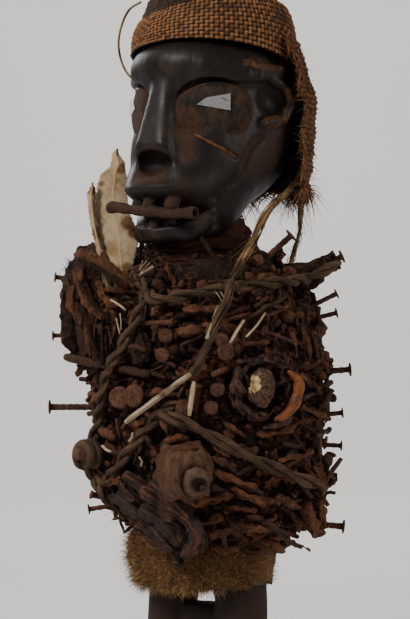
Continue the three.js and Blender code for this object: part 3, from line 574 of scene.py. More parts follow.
def head(q):
    """Distance to the head's surface in millimetres; both halves are alike but for the teeth."""
    p = [np.abs(q[0]), q[1], q[2]]
    d = ellipsoid(p, (0, 4, 634), (62, 66, 64))
    d = blend(d, ellipsoid(p, (0, 24, 612), (69, 62, 70)), 10)
    d = blend(d, ellipsoid(p, (0, 2, 586), (60, 70, 58)), 10)
    d = blend(d, ellipsoid(p, (0, -20, 553), (47, 50, 52)), 12)
    # brow roll over the eye hollows
    d = blend(d, ellipsoid(p, (0, -22, 652), (51, 44, 24)), 8)
    d = blend(d, bar(p, (12, -52, 646), (32, -43, 646), 10.5), 7)
    d = blend(d, bar(p, (32, -43, 646), (55, -20, 641), 10), 7)
    d = carve(d, ellipsoid(p, (41, -70, 611), (31, 27, 28)), 2.5)
    d = carve(d, bar(p, (46, -56, 630), (66, -14, 628), 5.5), 3)
    # cheeks, muzzle and chin
    d = blend(d, ellipsoid(p, (22, -30, 570), (27, 28, 33)), 8)
    d = blend(d, ellipsoid(p, (14, -40, 553), (29, 36, 21)), 8)
    d = blend(d, ellipsoid(p, (0, -41, 546), (41, 47, 14)), 6)
    d = blend(d, ellipsoid(p, (0, -41, 513), (35, 33, 12)), 6)
    d = blend(d, eye_resin(p), 1.5)
    d = carve(d, eye_crease(p), 1.5)
    d = blend(d, nose(p), 5)
    d = carve(d, ellipsoid(p, (0, -70, 567), (17, 12, 11)), 3)
    # mouth and teeth
    reach = np.clip(1 - (p[0] / 41) ** 2, 0, 1)
    corner = np.clip((-p[1] - 41) / 24, 0, 1)
    gap = np.abs(p[2] - 524 - (p[0] / 14) ** 2) - 11.5 * reach ** 0.4 * corner ** 0.6
    d = carve(d, np.maximum(np.maximum(gap, -(d + 14)), p[1] + 36), 1.8)
    d = blend(d, bar(p, (0, -68, 507), (24, -57, 508), 4.8), 8)
    d = blend(d, bar(p, (24, -57, 508), (37, -42, 521), 4.2), 8)
    d = blend(d, teeth(q), 1.5)
    # cheek crease, scar, ear and the block at the temple
    d = carve(d, np.maximum(drawn(p, CHEEK_CREASE) - 1.2, -(d + 1.6)), 5)
    d = carve(d, np.maximum(np.maximum(drawn(q, SCAR) - 1.5, -(d + 1.8)), 5 - q[0]), 0.8)
    d = carve(d, ellipsoid(p, (67, 2, 621), (9, 17, 15)), 4)
    d = blend(d, ear_rim(p), 4)
    block = [np.maximum(np.abs(p[i] - middle) - half, 0)
             for i, middle, half in ((0, 59, 5), (1, 12, 23), (2, 643, 4))]
    return blend(d, np.sqrt(sum(b * b for b in block)) - 4, 3)


def oval_stack(p, rows, widen=0.0):
    """Distance to a run of oval sections: height, middle x and y, half width, half depth."""
    rows = np.array(rows, float)
    x, y, wide, deep = (np.interp(p[2], rows[:, 0], rows[:, i]) for i in range(1, 5))
    wide = wide + widen
    near = np.hypot((p[0] - x) / wide, (p[1] - y) / deep)
    side = (near - 1) * np.minimum(wide, deep)
    return np.maximum(side, np.maximum(rows[0, 0] - p[2], p[2] - rows[-1, 0]))


TRUNK = [(222, 0, 1, 48, 38), (232, 0, 1, 55, 45), (250, 0, 2, 56, 47), (330, 0, 0, 47, 45),
         (420, 0, 0, 56, 44), (462, 0, 2, 64, 42), (482, 0, 4, 44, 36), (500, 0, 4, 33, 33),
         (545, 0, 2, 32, 34)]
WEB = [(148, 0, 2, 22, 13), (158, 0, 1, 24, 17), (191, 0, 0, 24, 18), (197, 0, 0, 22, 15)]
LEG = [(24, 42, -18, 24, 46), (40, 42, -17, 23, 44), (52, 41, -9, 19, 32), (68, 40, 0, 16, 19),
       (95, 39, 4, 19, 22), (125, 39, 6, 22, 25), (152, 38, 2, 20, 21), (172, 38, -1, 20, 22),
       (200, 36.5, 0, 19.3, 24), (230, 32, 2, 20, 26)]


def body(q):
    """Distance to the trunk, legs and base, with toes cut in the feet."""
    p = [np.abs(q[0]), q[1], q[2]]
    leg = oval_stack(p, LEG, 0.7 + 0.8 * np.sign(q[0]))
    for i in range(4):
        leg = carve(leg, bar(p, (29 + 9 * i, -72, 40), (30 + 8 * i, -40, 46), 1.6), 2)
    d = blend(oval_stack(q, TRUNK), leg, 5)
    d = blend(d, oval_stack(q, WEB), 3)
    rim = np.hypot(q[0] / 92, q[1] / 84)
    corner = [np.maximum((rim - 1) * 86 + 4, 0), np.maximum(np.abs(q[2] - 15) - 11, 0)]
    base = np.hypot(*corner) - 4
    return blend(d, base, 2)


def surface_of(distance, low, high, voxel):
    """The zero surface of a distance in millimetres, as a shape in metres."""
    low = np.array(low, float)
    coarse = voxel * 4
    count = [int(math.ceil((h - s) / coarse)) for s, h in zip(low, high)]
    middles = [low[i] + coarse * (np.arange(count[i]) + 0.5) - voxel / 2 for i in range(3)]
    rough = distance(np.meshgrid(*middles, indexing="ij"))
    field = np.kron(np.where(rough > 0, 3.0, -3.0) * voxel, np.ones((4, 4, 4)))
    near = np.kron(np.abs(rough) < coarse * 1.8, np.ones((4, 4, 4), bool))
    spot = np.argwhere(near)
    exact = distance([low[i] + voxel * spot[:, i] for i in range(3)])
    field[tuple(spot.T)] = np.clip(exact, -3 * voxel, 3 * voxel)
    grid = openvdb.FloatGrid(3 * voxel)
    grid.copyFromArray(field.astype(np.float32))
    points, quads = grid.convertToQuads(0.0)
    points = (points * voxel + low) * STEP
    return points, [tuple(face) for face in quads.tolist()], points


carved_head = surface_of(head, (-76, -100, 462), (76, 92, 704), 1.5)
carved_body = surface_of(body, (-96, -88, -4), (96, 88, 482), 2.9)
carved = gathered([carved_head, carved_body])
carved_points, carved_faces, _ = carved


def smoothed(values, faces, times):
    """Each point's value averaged with its neighbours' some number of times."""
    near = np.array([pair for face in faces for pair in zip(face, face[1:] + face[:1])])
    near = np.concatenate([near, near[:, ::-1]])
    shares = np.bincount(near[:, 0], minlength=len(values))
    for _ in range(times):
        columns = [
            np.bincount(near[:, 0], values[near[:, 1], i], len(values)) for i in range(values.shape[1])
        ]
        values = 0.5 * values + 0.5 * np.stack(columns, 1) / shares[:, None]
    return values


def give(made, name, values):
    """A number at each point of a piece, or one for all of it, for its material to read."""
    values = np.full(len(made.data.vertices), values, np.float32)
    made.data.attributes.new(name, "FLOAT", "POINT").data.foreach_set("value", values)


wood_look = Look("oiled_wood")
wood_grain = wood_look.speckle(90, 6, stretch=(1, 1, 0.1))
wood_cloud = wood_look.speckle(22, 5)
rubbed = wood_look.speckle(160, 4, stretch=(1, 1, 0.5))
wood_grit = wood_look.speckle(500, 3)
hollow, resin, gum, dust = (
    wood_look.attribute(name) for name in ("hollow", "resin", "gum", "dust")
)
dark_wood = wood_look.mixed(wood_cloud, (0.0045, 0.0036, 0.0034), (0.013, 0.0095, 0.0085))
dark_wood = wood_look.mixed(
    wood_look.part(wood_grain, 0.5, 0.75) * 0.45, dark_wood, (0.03, 0.018, 0.014)
)
dark_wood = wood_look.mixed(
    wood_look.part(resin + (rubbed - 0.5) * 1.6 + (wood_cloud - 0.5), 0.3, 0.9), dark_wood,
    wood_look.mixed(wood_look.part(rubbed, 0.35, 0.7), (0.009, 0.007, 0.006), (0.04, 0.024, 0.016)),
)
earthy = wood_look.mixed(
    wood_look.part(hollow + (rubbed - 0.5) * 1.2 + (wood_cloud - 0.5) * 1.2, 0.45, 1.1) * 0.8,
    dark_wood, wood_look.mixed(wood_grit, (0.022, 0.011, 0.006), (0.07, 0.032, 0.015)),
)
gummy = wood_look.mixed(
    wood_look.part(gum + (rubbed - 0.5) * 1.4, 0.3, 0.8), earthy,
    wood_look.mixed(wood_grit, (0.04, 0.016, 0.007), (0.19, 0.08, 0.027)),
)
film = wood_look.part(wood_cloud, 0.5, 0.66)
filmed = wood_look.mixed(film * 0.6, gummy, (0.034, 0.019, 0.012))
worn = wood_look.mixed(
    wood_look.part(dust * 0.7 + (wood_cloud - 0.5) * 1.1, 0.25, 0.85), filmed, (0.03, 0.02, 0.0155)
)
wood_look.set(
    base_color=worn,
    roughness=0.48 + (rubbed - 0.5) * 0.4 + film * 0.12
    + wood_look.part(hollow + dust + resin + gum, 0.2, 1.0) * 0.4,
)
wood_look.bump(
    wood_grain * 0.5 + rubbed * 0.5 + wood_cloud * 0.8 + (resin + gum * 0.3) * (wood_grit - 0.5),
    0.0013, 0.7,
)

figure = piece("figure_carving", carved, wood_look, "wood", "figure")
lifted = smoothed(carved_points, carved_faces, 11) - carved_points
normals = np.array([v.normal[:] for v in figure.data.vertices])
by_halves = [*(carved_points / STEP).T]
mirrored = [np.abs(by_halves[0]), *by_halves[1:]]
on_resin = np.clip(1.3 - np.abs(eye_resin(mirrored)) / 1.2, 0, 1)
give(figure, "resin", on_resin)
at_nose = np.clip(1.3 - np.maximum(ellipsoid(mirrored, (22, -46, 586), (9, 14, 36)), 0) / 9, 0, 1)
at_lip = np.clip(1.3 - np.maximum(ellipsoid(mirrored, (4, -76, 557), (9, 12, 6)), 0) / 9, 0, 1)
resin_rim = np.clip(1.2 - np.abs(eye_rim(mirrored)) / 6, 0, 1) * (on_resin > 0)
creased = np.clip(1 - drawn(mirrored, CHEEK_CREASE) / 9, 0, 1)
at_teeth = np.clip(1.2 - np.abs(teeth(by_halves)) / 0.6, 0, 1)
sunken = np.clip((lifted * normals).sum(1) / 0.0009, 0, 1)
give(figure, "hollow", np.max([sunken, at_nose, at_lip, resin_rim, creased * 0.7, at_teeth * 0.8], 0))
in_scar = np.clip(1.3 - drawn(by_halves, SCAR) / 1.5, 0, 0.85) * (by_halves[0] > 3)
at_ear = np.clip(1.2 - np.abs(ear_rim(mirrored)) / 2, 0, 1) * (mirrored[2] < 632)
at_temple = np.clip(1.3 - np.maximum(ellipsoid(mirrored, (60, 0, 650), (12, 24, 3)), 0) / 4, 0, 1)
give(figure, "gum", np.max([in_scar, at_ear * 0.45, at_temple * 0.5], 0))
give(figure, "dust", np.clip((260 - by_halves[2]) / 60, 0, 1))


# Eye mirrors: two shards of old looking glass, browned where the silvering has gone, pressed
# into the resin of the eyes while it was soft.

mirror_look = Look("old_mirror", metallic=1.0)
tarnish = mirror_look.speckle(300, 5)
mirror_look.set(
    base_color=mirror_look.mixed(
        mirror_look.part(tarnish, 0.56, 0.7), (0.9, 0.91, 0.93), (0.25, 0.22, 0.2)
    ),
    roughness=0.1 + tarnish * 0.25,
)
for shard in ("eye_mirror_left", "eye_mirror_right"):
    nodes[shard].data.materials.clear()
    nodes[shard].data.materials.append(mirror_look.material)


# Mouth stick: a length of dark twig with its bark on, its pith bored out at one end, held
# crosswise in the teeth.

shape_dice = np.random.default_rng(5)


def turned(start, way, rows, sides, uneven):
    """A solid of uneven rings about a line from start; rows hold the distance along and radius."""
    way = np.array(way, float) / np.linalg.norm(way)
    across = np.cross(way, [0.31, 0.22, 0.92])
    across /= np.linalg.norm(across)
    over = np.cross(way, across)
    turns = 2 * math.pi * np.arange(sides) / sides
    lobes = 1 + uneven * sum(
        0.6 / order * np.sin(order * turns + shape_dice.uniform(0, 6.3)) for order in (1, 2, 3, 4)
    )
    points, grain = [], []
    for far, radius in rows:
        for side, turn in enumerate(turns[:sides if radius > 0 else 1]):
            reach = radius * lobes[side] * (1 + uneven * shape_dice.normal(0, 0.15))
            u, v = reach * math.cos(turn), reach * math.sin(turn)
            points.append(start + (way * far + across * u + over * v) * STEP)
            grain.append((u * STEP, v * STEP, far * STEP))
    faces = []
    last = len(points) - 1
    for side in range(sides):
        after = (side + 1) % sides
        faces.append((0, 1 + after, 1 + side))
        for row in range(len(rows) - 3):
            a = 1 + row * sides + side
            b = 1 + row * sides + after
            faces.append((a, b, b + sides, a + sides))
        faces.append((last, last - sides + side, last - sides + after))
    return np.array(points), faces, np.array(grain)


bark_look = Look("dark_twig", roughness=0.7)
bark_streak = bark_look.streaks(700, 4, 0.07)
bark_cloud = bark_look.speckle(90, 4)
bark_look.set(base_color=bark_look.patched(
    bark_look.part(bark_cloud, 0.35, 0.65), bark_streak,
    ((0.008, 0.004, 0.0025), (0.04, 0.018, 0.009)),
    ((0.015, 0.007, 0.0035), (0.06, 0.027, 0.013)),
))
bark_look.bump(bark_streak + bark_cloud * 0.5, 0.001, 0.8)

stick_rows = [(0, 0), (0, 3.6), (0.8, 4.6)]
stick_rows += [
    (far, 4.4 + 0.45 * math.sin(far / 7 + 1) + 0.3 * math.sin(far / 2.3))
    for far in np.arange(4, 93, 2.5)
]
stick_rows += [(94.4, 4.9), (95, 4.5), (94.8, 3.3), (90, 2.9), (83, 2.7), (83, 0)]
stick_way = np.array([47, -1.5, -2.5])
stick_way /= np.linalg.norm(stick_way)
stick_start = np.array([3, -78.5, 527.5]) * STEP - stick_way * 0.0475
points, faces, grain = turned(stick_start, stick_way, stick_rows, 18, 0.1)
points[:, 2] += 0.0014 * np.sin(grain[:, 2] * 45 + 1.5) + 0.0005 * np.sin(grain[:, 2] * 160)
piece("mouth_stick_twig", (points, faces, grain), bark_look, "stick", "mouth_stick")


# Cap: plain-woven raffia with a turned-up cuff round a darker crown, and a flap of the same
# cloth that hangs behind the ear and frays at its edge. Pulled down over the carved head.

CAP_TOP = 740
CAP_MIDDLE_Y = 8
WEAVE_RISE = 1.7


def tree_over(made):
    """A search tree over the surface of a shape."""
    return BVHTree.FromPolygons(made[0].tolist(), made[1])


head_tree = tree_over(carved_head)


def cap_reach(turn, z):
    """How far the cap's cloth stands from its middle line in a direction, in millimetres."""
    way = Vector((math.sin(turn), -math.cos(turn), 0))
    high = min(max((z - CAP_TOP + 82) / 82, 0), 0.9999)
    slope = (1 - high ** 2.3) ** (1 / 2.3)
    bulge = slope / math.hypot(way.x / 64, way.y / (66 if way.y < 0 else 71))
    middle = Vector((0, CAP_MIDDLE_Y * STEP, z * STEP))
    hit = head_tree.ray_cast(middle + way * 0.15, -way)[0]
    return max(bulge, (hit - middle).dot(way) / STEP + 3.6 if hit else 0)


weave_look = Look("woven_raffia", roughness=0.8)
weave_rise_for_shade = weave_look.attribute("rise")
weave_tone = weave_look.attribute("tone")
weave_dark = weave_look.attribute("dark")
weave_fibre = weave_look.speckle(900, 3, stretch=(1, 1, 0.25))
weave_cloud = weave_look.speckle(28, 4)
strand_colour = weave_look.mixed(
    weave_look.part(weave_tone + (weave_cloud - 0.5) * 1.4, 0.1, 0.9),
    (0.075, 0.031, 0.012), (0.26, 0.11, 0.042),
)
strand_colour = weave_look.mixed(
    weave_look.part(weave_dark + (weave_cloud - 0.5) * 0.4, 0.1, 0.9) * 0.88,
    strand_colour, (0.018, 0.01, 0.007),
)
# Painted shade: the low parts of the weave, where one strand dips under the next, are painted near black.
weave_look.set(base_color=weave_look.mixed(
    weave_look.part(weave_rise_for_shade + (weave_fibre - 0.5) * 0.7, 0.1, 1.0),
    (0.012, 0.006, 0.0035), strand_colour,
))
weave_look.bump(weave_fibre, 0.0006, 0.7)


def woven(name, outer, inner, *stands_for, ring=True):
    """A woven wall. The outer grid, four steps to a strand, rises where a strand crosses over
    the other; the inner grid is plain, and the rims are joined. A ring is closed at its top."""
    outer, inner = np.array(outer), np.array(inner)
    rows, columns = outer.shape[:2]
    out = np.cross(np.gradient(outer, axis=1), np.gradient(outer, axis=0))
    out /= np.maximum(np.linalg.norm(out, axis=2), 1e-9)[..., None]
    i, j = np.meshgrid(np.arange(rows), np.arange(columns), indexing="ij")
    x, y = (j % 4) / 4 - 0.5, (i % 4) / 4 - 0.5
    warp = (1 - (2 * x) ** 2) * (0.55 + 0.45 * np.cos(math.pi * y))
    weft = (1 - (2 * y) ** 2) * (0.55 + 0.45 * np.cos(math.pi * x))
    over = (i // 4 + j // 4) % 2
    rise = np.where(over > 0, warp, weft)
    strands = np.random.default_rng(3).normal(0, 1, (rows // 4 + 1, columns // 4 + 1))
    uneven = strands[i // 4, j // 4]
    front = outer + out * ((rise - 0.5 + 0.2 * uneven * rise) * WEAVE_RISE)[..., None] * STEP
    behind = len(inner)

    def spot(row, column, layer=0):
        return layer * rows * columns + row * columns + column % columns

    faces = []
    for column in range(columns if ring else columns - 1):
        after = column + 1
        for row in range(rows - 1):
            faces.append((spot(row, column), spot(row, after),
                          spot(row + 1, after), spot(row + 1, column)))
        for row in range(behind - 1):
            faces.append((spot(row, column, 1), spot(row + 1, column, 1),
                          spot(row + 1, after, 1), spot(row, after, 1)))
        faces.append((spot(0, column), spot(0, column, 1), spot(0, after, 1), spot(0, after)))
        if not ring:
            faces.append((spot(rows - 1, column), spot(rows - 1, after),
                          spot(behind - 1, after, 1), spot(behind - 1, column, 1)))
    if ring:
        faces.append(tuple(spot(rows - 1, column) for column in range(columns)))
        faces.append(tuple(spot(behind - 1, column, 1) for column in reversed(range(columns))))
    else:
        step = (rows - 1) // (behind - 1)
        for column in (0, columns - 1):
            for row in range(behind - 1):
                edge = [spot(row * step + k, column) for k in range(step + 1)]
                faces.append((*edge, spot(row + 1, column, 1), spot(row, column, 1)))
    points = np.concatenate([front.reshape(-1, 3), inner.reshape(-1, 3)])
    made = piece(name, (points, faces, points), weave_look, "woven_raffia", *stands_for)
    # The inner wall is given no rise, so it takes the weave's painted shade all over.
    back = np.zeros(behind * columns)
    give(made, "rise", np.concatenate([rise.ravel(), back]))
    give(made, "tone", np.concatenate([(uneven * 0.2 + 0.5 + over * 0.1).ravel(), back + 0.4]))
    return made


cuff_rows, crown_rows, cap_columns = 4 * 11, 4 * 15, 4 * 102
cap_turns = 2 * math.pi * np.arange(cap_columns) / cap_columns
rim_heights = CAP_TOP - 85 + 15 * np.cos(cap_turns - math.radians(20))
cuff_heights = CAP_TOP - 46 + 14 * np.cos(cap_turns - math.radians(80))
reach_heights = CAP_TOP - np.array([*np.linspace(100, 4, 24), 3, 2, 1.2, 0.6, 0.3, 0.1, 0])
reach_grid = np.array([[cap_reach(turn, z) for turn in cap_turns] for z in reach_heights])
for _ in range(6):
    reach_grid = (reach_grid * 2 + np.roll(reach_grid, 3, 1) + np.roll(reach_grid, -3, 1)) / 4


def cap_row(heights, stands):
    """A ring of the cap from the height of each point and how far it stands off."""
    row = []
    for column, (turn, z, stand) in enumerate(zip(cap_turns, heights, stands)):
        reach = np.interp(z, reach_heights, reach_grid[:, column]) + stand
        row.append((math.sin(turn) * reach, CAP_MIDDLE_Y - math.cos(turn) * reach, z))
    return np.array(row) * STEP


outer = [
    cap_row(
        rim_heights + (cuff_heights - rim_heights) * up,
        3.0 + 1.8 * math.sin(math.pi * up) + (0.9 * np.sin(3 * cap_turns + 1) + 0.4) * up,
    )
    for up in np.arange(cuff_rows + 1) / cuff_rows
]
for row in range(crown_rows + 1):
    up = math.sin(math.pi / 2 * row / crown_rows) ** 1.1
    outer.append(cap_row(
        cuff_heights - 2 + (CAP_TOP + 2 - cuff_heights) * up,
        1.2 * np.sin(2 * cap_turns) * math.sin(math.pi * up) - 0.3,
    ))
inner = [
    cap_row(
        rim_heights + (CAP_TOP - 2 - rim_heights) * math.sin(math.pi / 2 * up),
        np.full(cap_columns, -2.0 if up else 0.0),
    )
    for up in np.linspace(0, 1, 9)
]
cap_weave = woven("cap_weave", outer, inner, "cap")
darkness = [0.0] * (cuff_rows + 1) + [1.0] * (crown_rows + 1 + len(inner))
give(cap_weave, "dark", np.repeat(darkness, cap_columns))

FLAP = np.array([
    (548, 77, 112, 214), (562, 79, 106, 220), (590, 81, 103, 226),
    (622, 84, 100, 232), (648, 77, 98, 236), (674, 69, 98, 238),
], float)
flap_columns = 4 * 36 + 1


def flap_grid(out, rows):
    """A grid over the flap, rippled and drooping at its lower edge."""
    low, high = FLAP[0, 0], FLAP[-1, 0]
    grid = []
    for up in np.linspace(0, 1, rows):
        z = low + (high - low) * up
        reach, start, end = (np.interp(z, FLAP[:, 0], FLAP[:, i]) for i in (1, 2, 3))
        line = []
        for share in np.linspace(0, 1, flap_columns):
            turn = math.radians(start + (end - start) * share + 2 * math.sin(z / 6) * (1 - share))
            stand = reach + out + 1.8 * math.sin(turn * 9 + z / 23) * (1 - up)
            stand += 2.2 * noise.noise(Vector((turn * 5, z / 12, 0)))
            droop = 3 * math.sin(share * 17) * max(1 - up, 0) ** 3
            line.append(np.array(
                [math.sin(turn) * stand, CAP_MIDDLE_Y - math.cos(turn) * stand, z - droop]
            ) * STEP)
        grid.append(line)
    return grid


cap_flap = woven("cap_flap", flap_grid(4.0, 4 * 30 + 1), flap_grid(1.2, 16), ring=False)
give(cap_flap, "dark", 0.5)
flap_lines = np.array(flap_grid(3.5, 39))
frayed = [
    stray_fibres(flap_lines[0, ::2], 420, 0.03, 0.0012, 1.4, 0.3),
    stray_fibres(flap_lines[:, 0], 260, 0.014, 0.001, 0.8, 0.6),
    stray_fibres(flap_lines[:, -1], 120, 0.01, 0.001, 0.8, 0.6),
]
frayed += [
    stray_fibres(flap_lines[row, ::2], 70, 0.012, 0.0009, 0.7, 0.4) for row in range(3, 37, 3)
]
fringe = piece("cap_fringe", gathered(frayed), weave_look, "woven_raffia")
for attribute, low, high in (("rise", 0.8, 0.8), ("tone", 0.1, 1.1), ("dark", 0.0, 0.6)):
    strand_values = fibre_dice.uniform(low, high, len(fringe.data.vertices) // 8 + 1)
    give(fringe, attribute, np.repeat(strand_values, 8)[:len(fringe.data.vertices)])


# Neck wrap and shoulder bundles: cloth, hide and resin wound and pressed on by hand, soaked
# until cloth and earth are one. Fibre strands wind round the neck, hide strips hang at the left.

def clouded(points, size, octaves, hard, shift):
    """Cloudy noise at each point, about 0 to 1, with grains of the given size in metres."""
    offset = Vector((shift, shift, shift))
    return np.array([
        noise.turbulence(Vector(p) / size + offset, octaves, hard) for p in points.tolist()
    ]) / octaves ** 0.5


def shape_of(mesh):
    """A mesh's points and faces, with its points for grain."""
    points = np.array([v.co[:] for v in mesh.vertices])
    return points, [tuple(face.vertices) for face in mesh.polygons], points


def skinned(name, voxel, *rises, swell=0.0, stretch=(1, 1, 1)):
    """A CAD solid's shape with a finer skin, raised and sunk by cloudy noise."""
    merged = bmesh.new()
    merged.from_mesh(nodes[name].data)
    bmesh.ops.remove_doubles(merged, verts=merged.verts, dist=1e-5)
    mesh = bpy.data.meshes.new("skin")
    merged.to_mesh(mesh)
    merged.free()
    base = bpy.data.objects.new("skin", mesh)
    bpy.context.scene.collection.objects.link(base)
    remesh = base.modifiers.new("skin", "REMESH")
    remesh.mode = "VOXEL"
    remesh.voxel_size = voxel
    depsgraph = bpy.context.evaluated_depsgraph_get()
    fine = bpy.data.meshes.new_from_object(base.evaluated_get(depsgraph))
    bpy.data.objects.remove(base)
    points, faces, _ = shape_of(fine)
    bpy.data.meshes.remove(fine)
    return roughened((smoothed(points, faces, 2), faces, None), rises, swell, stretch)


def outwards(points, faces):
    """The direction out of the surface at each point."""
    mesh = bpy.data.meshes.new("outwards")
    mesh.from_pydata(points.tolist(), [], faces)
    out = np.array([v.normal[:] for v in mesh.vertices])
    bpy.data.meshes.remove(mesh)
    return out


def roughened(made, rises, swell=0.0, stretch=(1, 1, 1), keep_grain=False):
    """A shape moved in and out. Each rise is a grain size, a depth, its octaves and hardness."""
    points, faces, grain = made
    lift = np.full(len(points), swell)
    for order, (size, depth, octaves, hard) in enumerate(rises):
        lift += (clouded(points * stretch, size, octaves, hard, order * 3.7) - 0.5) * depth * 2
    rough = points + outwards(points, faces) * lift[:, None]
    return rough, faces, grain if keep_grain else points


def sunk(made, times=6, depth=0.0012):
    """How far each point lies in a hollow, from 0 to 1."""
    points, faces, _ = made
    lifted = smoothed(points, faces, times) - points
    return np.clip((lifted * outwards(points, faces)).sum(1) / depth + 0.5, 0, 1)


def lumpy(name, node, voxel, rises, look, slot, **skin):
    """A CAD solid as a finished piece with a finer skin, its hollows given for painted shade where its
    material reads them.
    """
    made = skinned(node, voxel, *rises, **skin)
    done = piece(name, made, look, slot, node)
    give(done, "hollow", sunk(made))
    return done


PROFILE = np.array([
    (246, 50, 58, 58, 55), (260, 64, 74, 92, 68), (278, 84, 86, 103, 78), (300, 101, 93, 105, 85),
    (325, 104, 94, 102, 88), (351, 96, 92, 100, 90), (390, 103, 92, 109, 93), (428, 112, 86, 101, 93),
    (456, 108, 76, 96, 88), (478, 88, 60, 82, 74), (496, 58, 48, 56, 52),
], float)


def around_four(reaches, turn):
    """A reach in any direction from those at the four quarter turns."""
    quarter = ((turn - VIEW_TURN) / (math.pi / 2) + 1) % 4
    start = int(quarter) % 4
    ease = (1 - math.cos(math.pi * (quarter - int(quarter)))) / 2
    return reaches[start] * (1 - ease) + reaches[(start + 1) % 4] * ease


def on_crust(around, z, out):
    """A point that stands out from the crust, by its direction in degrees and its height."""
    turn = math.radians(around)
    reaches = [np.interp(z, PROFILE[:, 0], PROFILE[:, side]) for side in range(1, 5)]
    reach = around_four(reaches, turn) + out
    return np.array([math.sin(turn) * reach, -math.cos(turn) * reach, z]) * STEP


def outward(around, lift=0.0):
    """The level direction out of the crust, by degrees round it, or one that rises a little."""
    turn = math.radians(around)
    way = np.array([math.sin(turn), -math.cos(turn), lift])
    return way / np.linalg.norm(way)


earth_look = Look("resin_and_earth", roughness=0.85)
earth_hollow_shade = earth_look.attribute("hollow")
earth_tone = earth_look.attribute("tone")
earth_cloud = earth_look.speckle(38, 5)
earth_grit = earth_look.speckle(260, 5, 0.7)
earth_base = earth_look.mixed(
    earth_look.part(earth_cloud + (earth_tone - 0.5) * 0.7, 0.25, 0.75),
    (0.022, 0.01, 0.006), (0.1, 0.038, 0.016),
)
earth_base = earth_look.mixed(
    earth_look.part(earth_grit + (earth_cloud - 0.5) * 0.5, 0.52, 0.68) * 0.75,
    earth_base, (0.15, 0.07, 0.033),
)
earth_base = earth_look.mixed(
    earth_look.part(1 - earth_grit, 0.5, 0.68) * 0.8, earth_base, (0.012, 0.006, 0.004)
)
# Painted shade: each piece's hollows are painted darker, broken up by the grit.
earth_look.set(base_color=earth_look.mixed(
    earth_look.part(earth_hollow_shade + (earth_grit - 0.5) * 0.6, 0.5, 1.0) * 0.8,
    earth_base, (0.01, 0.005, 0.0035),
))
earth_look.bump(earth_grit * 1.3 + earth_cloud, 0.002, 0.9)

cloth_look = Look("soaked_cloth", roughness=0.9)
cloth_cloud = cloth_look.speckle(60, 5)
cloth_thread = cloth_look.streaks(800, 4, 0.1)
cloth_look.set(base_color=cloth_look.patched(
    cloth_look.part(cloth_cloud, 0.3, 0.7), cloth_thread,
    ((0.006, 0.0022, 0.0015), (0.03, 0.01, 0.0055)),
    ((0.014, 0.005, 0.003), (0.075, 0.028, 0.014)),
))
cloth_look.bump(cloth_thread + cloth_cloud, 0.0012, 0.9)

FOLDS = [(0.016, 0.0026, 3, True), (0.005, 0.0014, 3, False)]
LUMPS = [(0.02, 0.0035, 3, False), (0.006, 0.0022, 3, True)]
lumpy("neck_wrap_cloth", "neck_wrap", 0.0018, FOLDS, cloth_look, "cloth", stretch=(1, 1, 3.5))
lumpy("shoulder_bundle_hide", "shoulder_bundle", 0.0018, LUMPS, earth_look, "resin_and_earth")
lumpy("shoulder_knot_cloth", "shoulder_knot", 0.0015, FOLDS, earth_look, "resin_and_earth")
lumpy("shoulder_stub_hide", "shoulder_stub", 0.0015, FOLDS, earth_look, "resin_and_earth")

NAPE_FROM = 502
neck_rows = [(far, 57 - far * 0.25) for far in range(0, 61, 2)]
nape_rows = [(far, 37 - (far / 12) ** 2) for far in range(0, 37, 2)]
neck_made = gathered([
    turned(in_view(-12, 2, 448), (0, 0, 1), [(0, 0), *neck_rows, (61, 0)], 60, 0.04),
    turned(in_view(6, -6, 490), (0, 0, 1), [(0, 0), *nape_rows, (37, 0)], 50, 0.04),
])
neck_made = roughened(neck_made, [(0.016, 0.004, 3, True), (0.005, 0.0018, 3, True)])
piece("neck_wad", neck_made, cloth_look, "cloth")
windings = []
for z in np.arange(455, 524, 2.4):
    aside, along, radius = -12, 2, 44 + (500 - z) * 0.27
    if z > NAPE_FROM:
        aside, along, radius = 6, -6, 36.5 - ((z - 486) / 10) ** 2
    turns = shape_dice.uniform(0, 2 * math.pi) + np.linspace(0, shape_dice.uniform(1.2, 4), 60)
    slant = shape_dice.normal(0, 4)
    ring = []
    for turn in turns:
        wander = [3 * noise.noise(Vector((turn * 2.5, z, shift))) for shift in (0, 7.3, 14.9)]
        ring.append(in_view(
            aside + radius * math.sin(turn) + wander[0],
            along + radius * math.cos(turn) + wander[1],
            z + slant * math.sin(turn + z) + wander[2],
        ))
    ring = np.array(ring)
    widths = (0.0026 + 0.0014 * np.sin(turns * 5 + z * 40)) * np.linspace(1.2, 0.6, 60)
    windings.append(tube(ring, widths * shape_dice.uniform(0.5, 1.3), 6, 0.6, 3))
    windings.append(stray_fibres(ring, 40, 0.006, 0.0004, 0.6, 0.4))
piece("neck_strands", gathered(windings), cloth_look, "cloth")


def twisted_roll(points, width, sides, ridges, pitch, flat=0.85, facing=None):
    """A roll of cloth or hide twisted along a path, ridged, with pinched ends."""
    line = through(points, 0.0025)
    gone = gone_along(line)
    share = gone / gone[-1]
    ends = np.clip(np.minimum(share, 1 - share) * gone[-1] / (width * 0.7) + 0.35, 0, 1) ** 0.5
    uneven = 1 + 0.12 * np.sin(gone * 260 + points[0][0] * 900) + 0.08 * np.sin(gone * 610)
    made, faces, grain = tube(line, width * ends * uneven, sides, flat, 0, facing)
    middle = np.repeat(line, sides, axis=0)
    side = np.tile(np.arange(sides) / sides, len(line)) * 2 * math.pi
    twist = 2 * math.pi * np.repeat(gone, sides) / (pitch * ridges)
    ridge = 1 + 0.16 * np.cos(ridges * (side - twist))
    return middle + (made - middle) * ridge[:, None], faces, grain


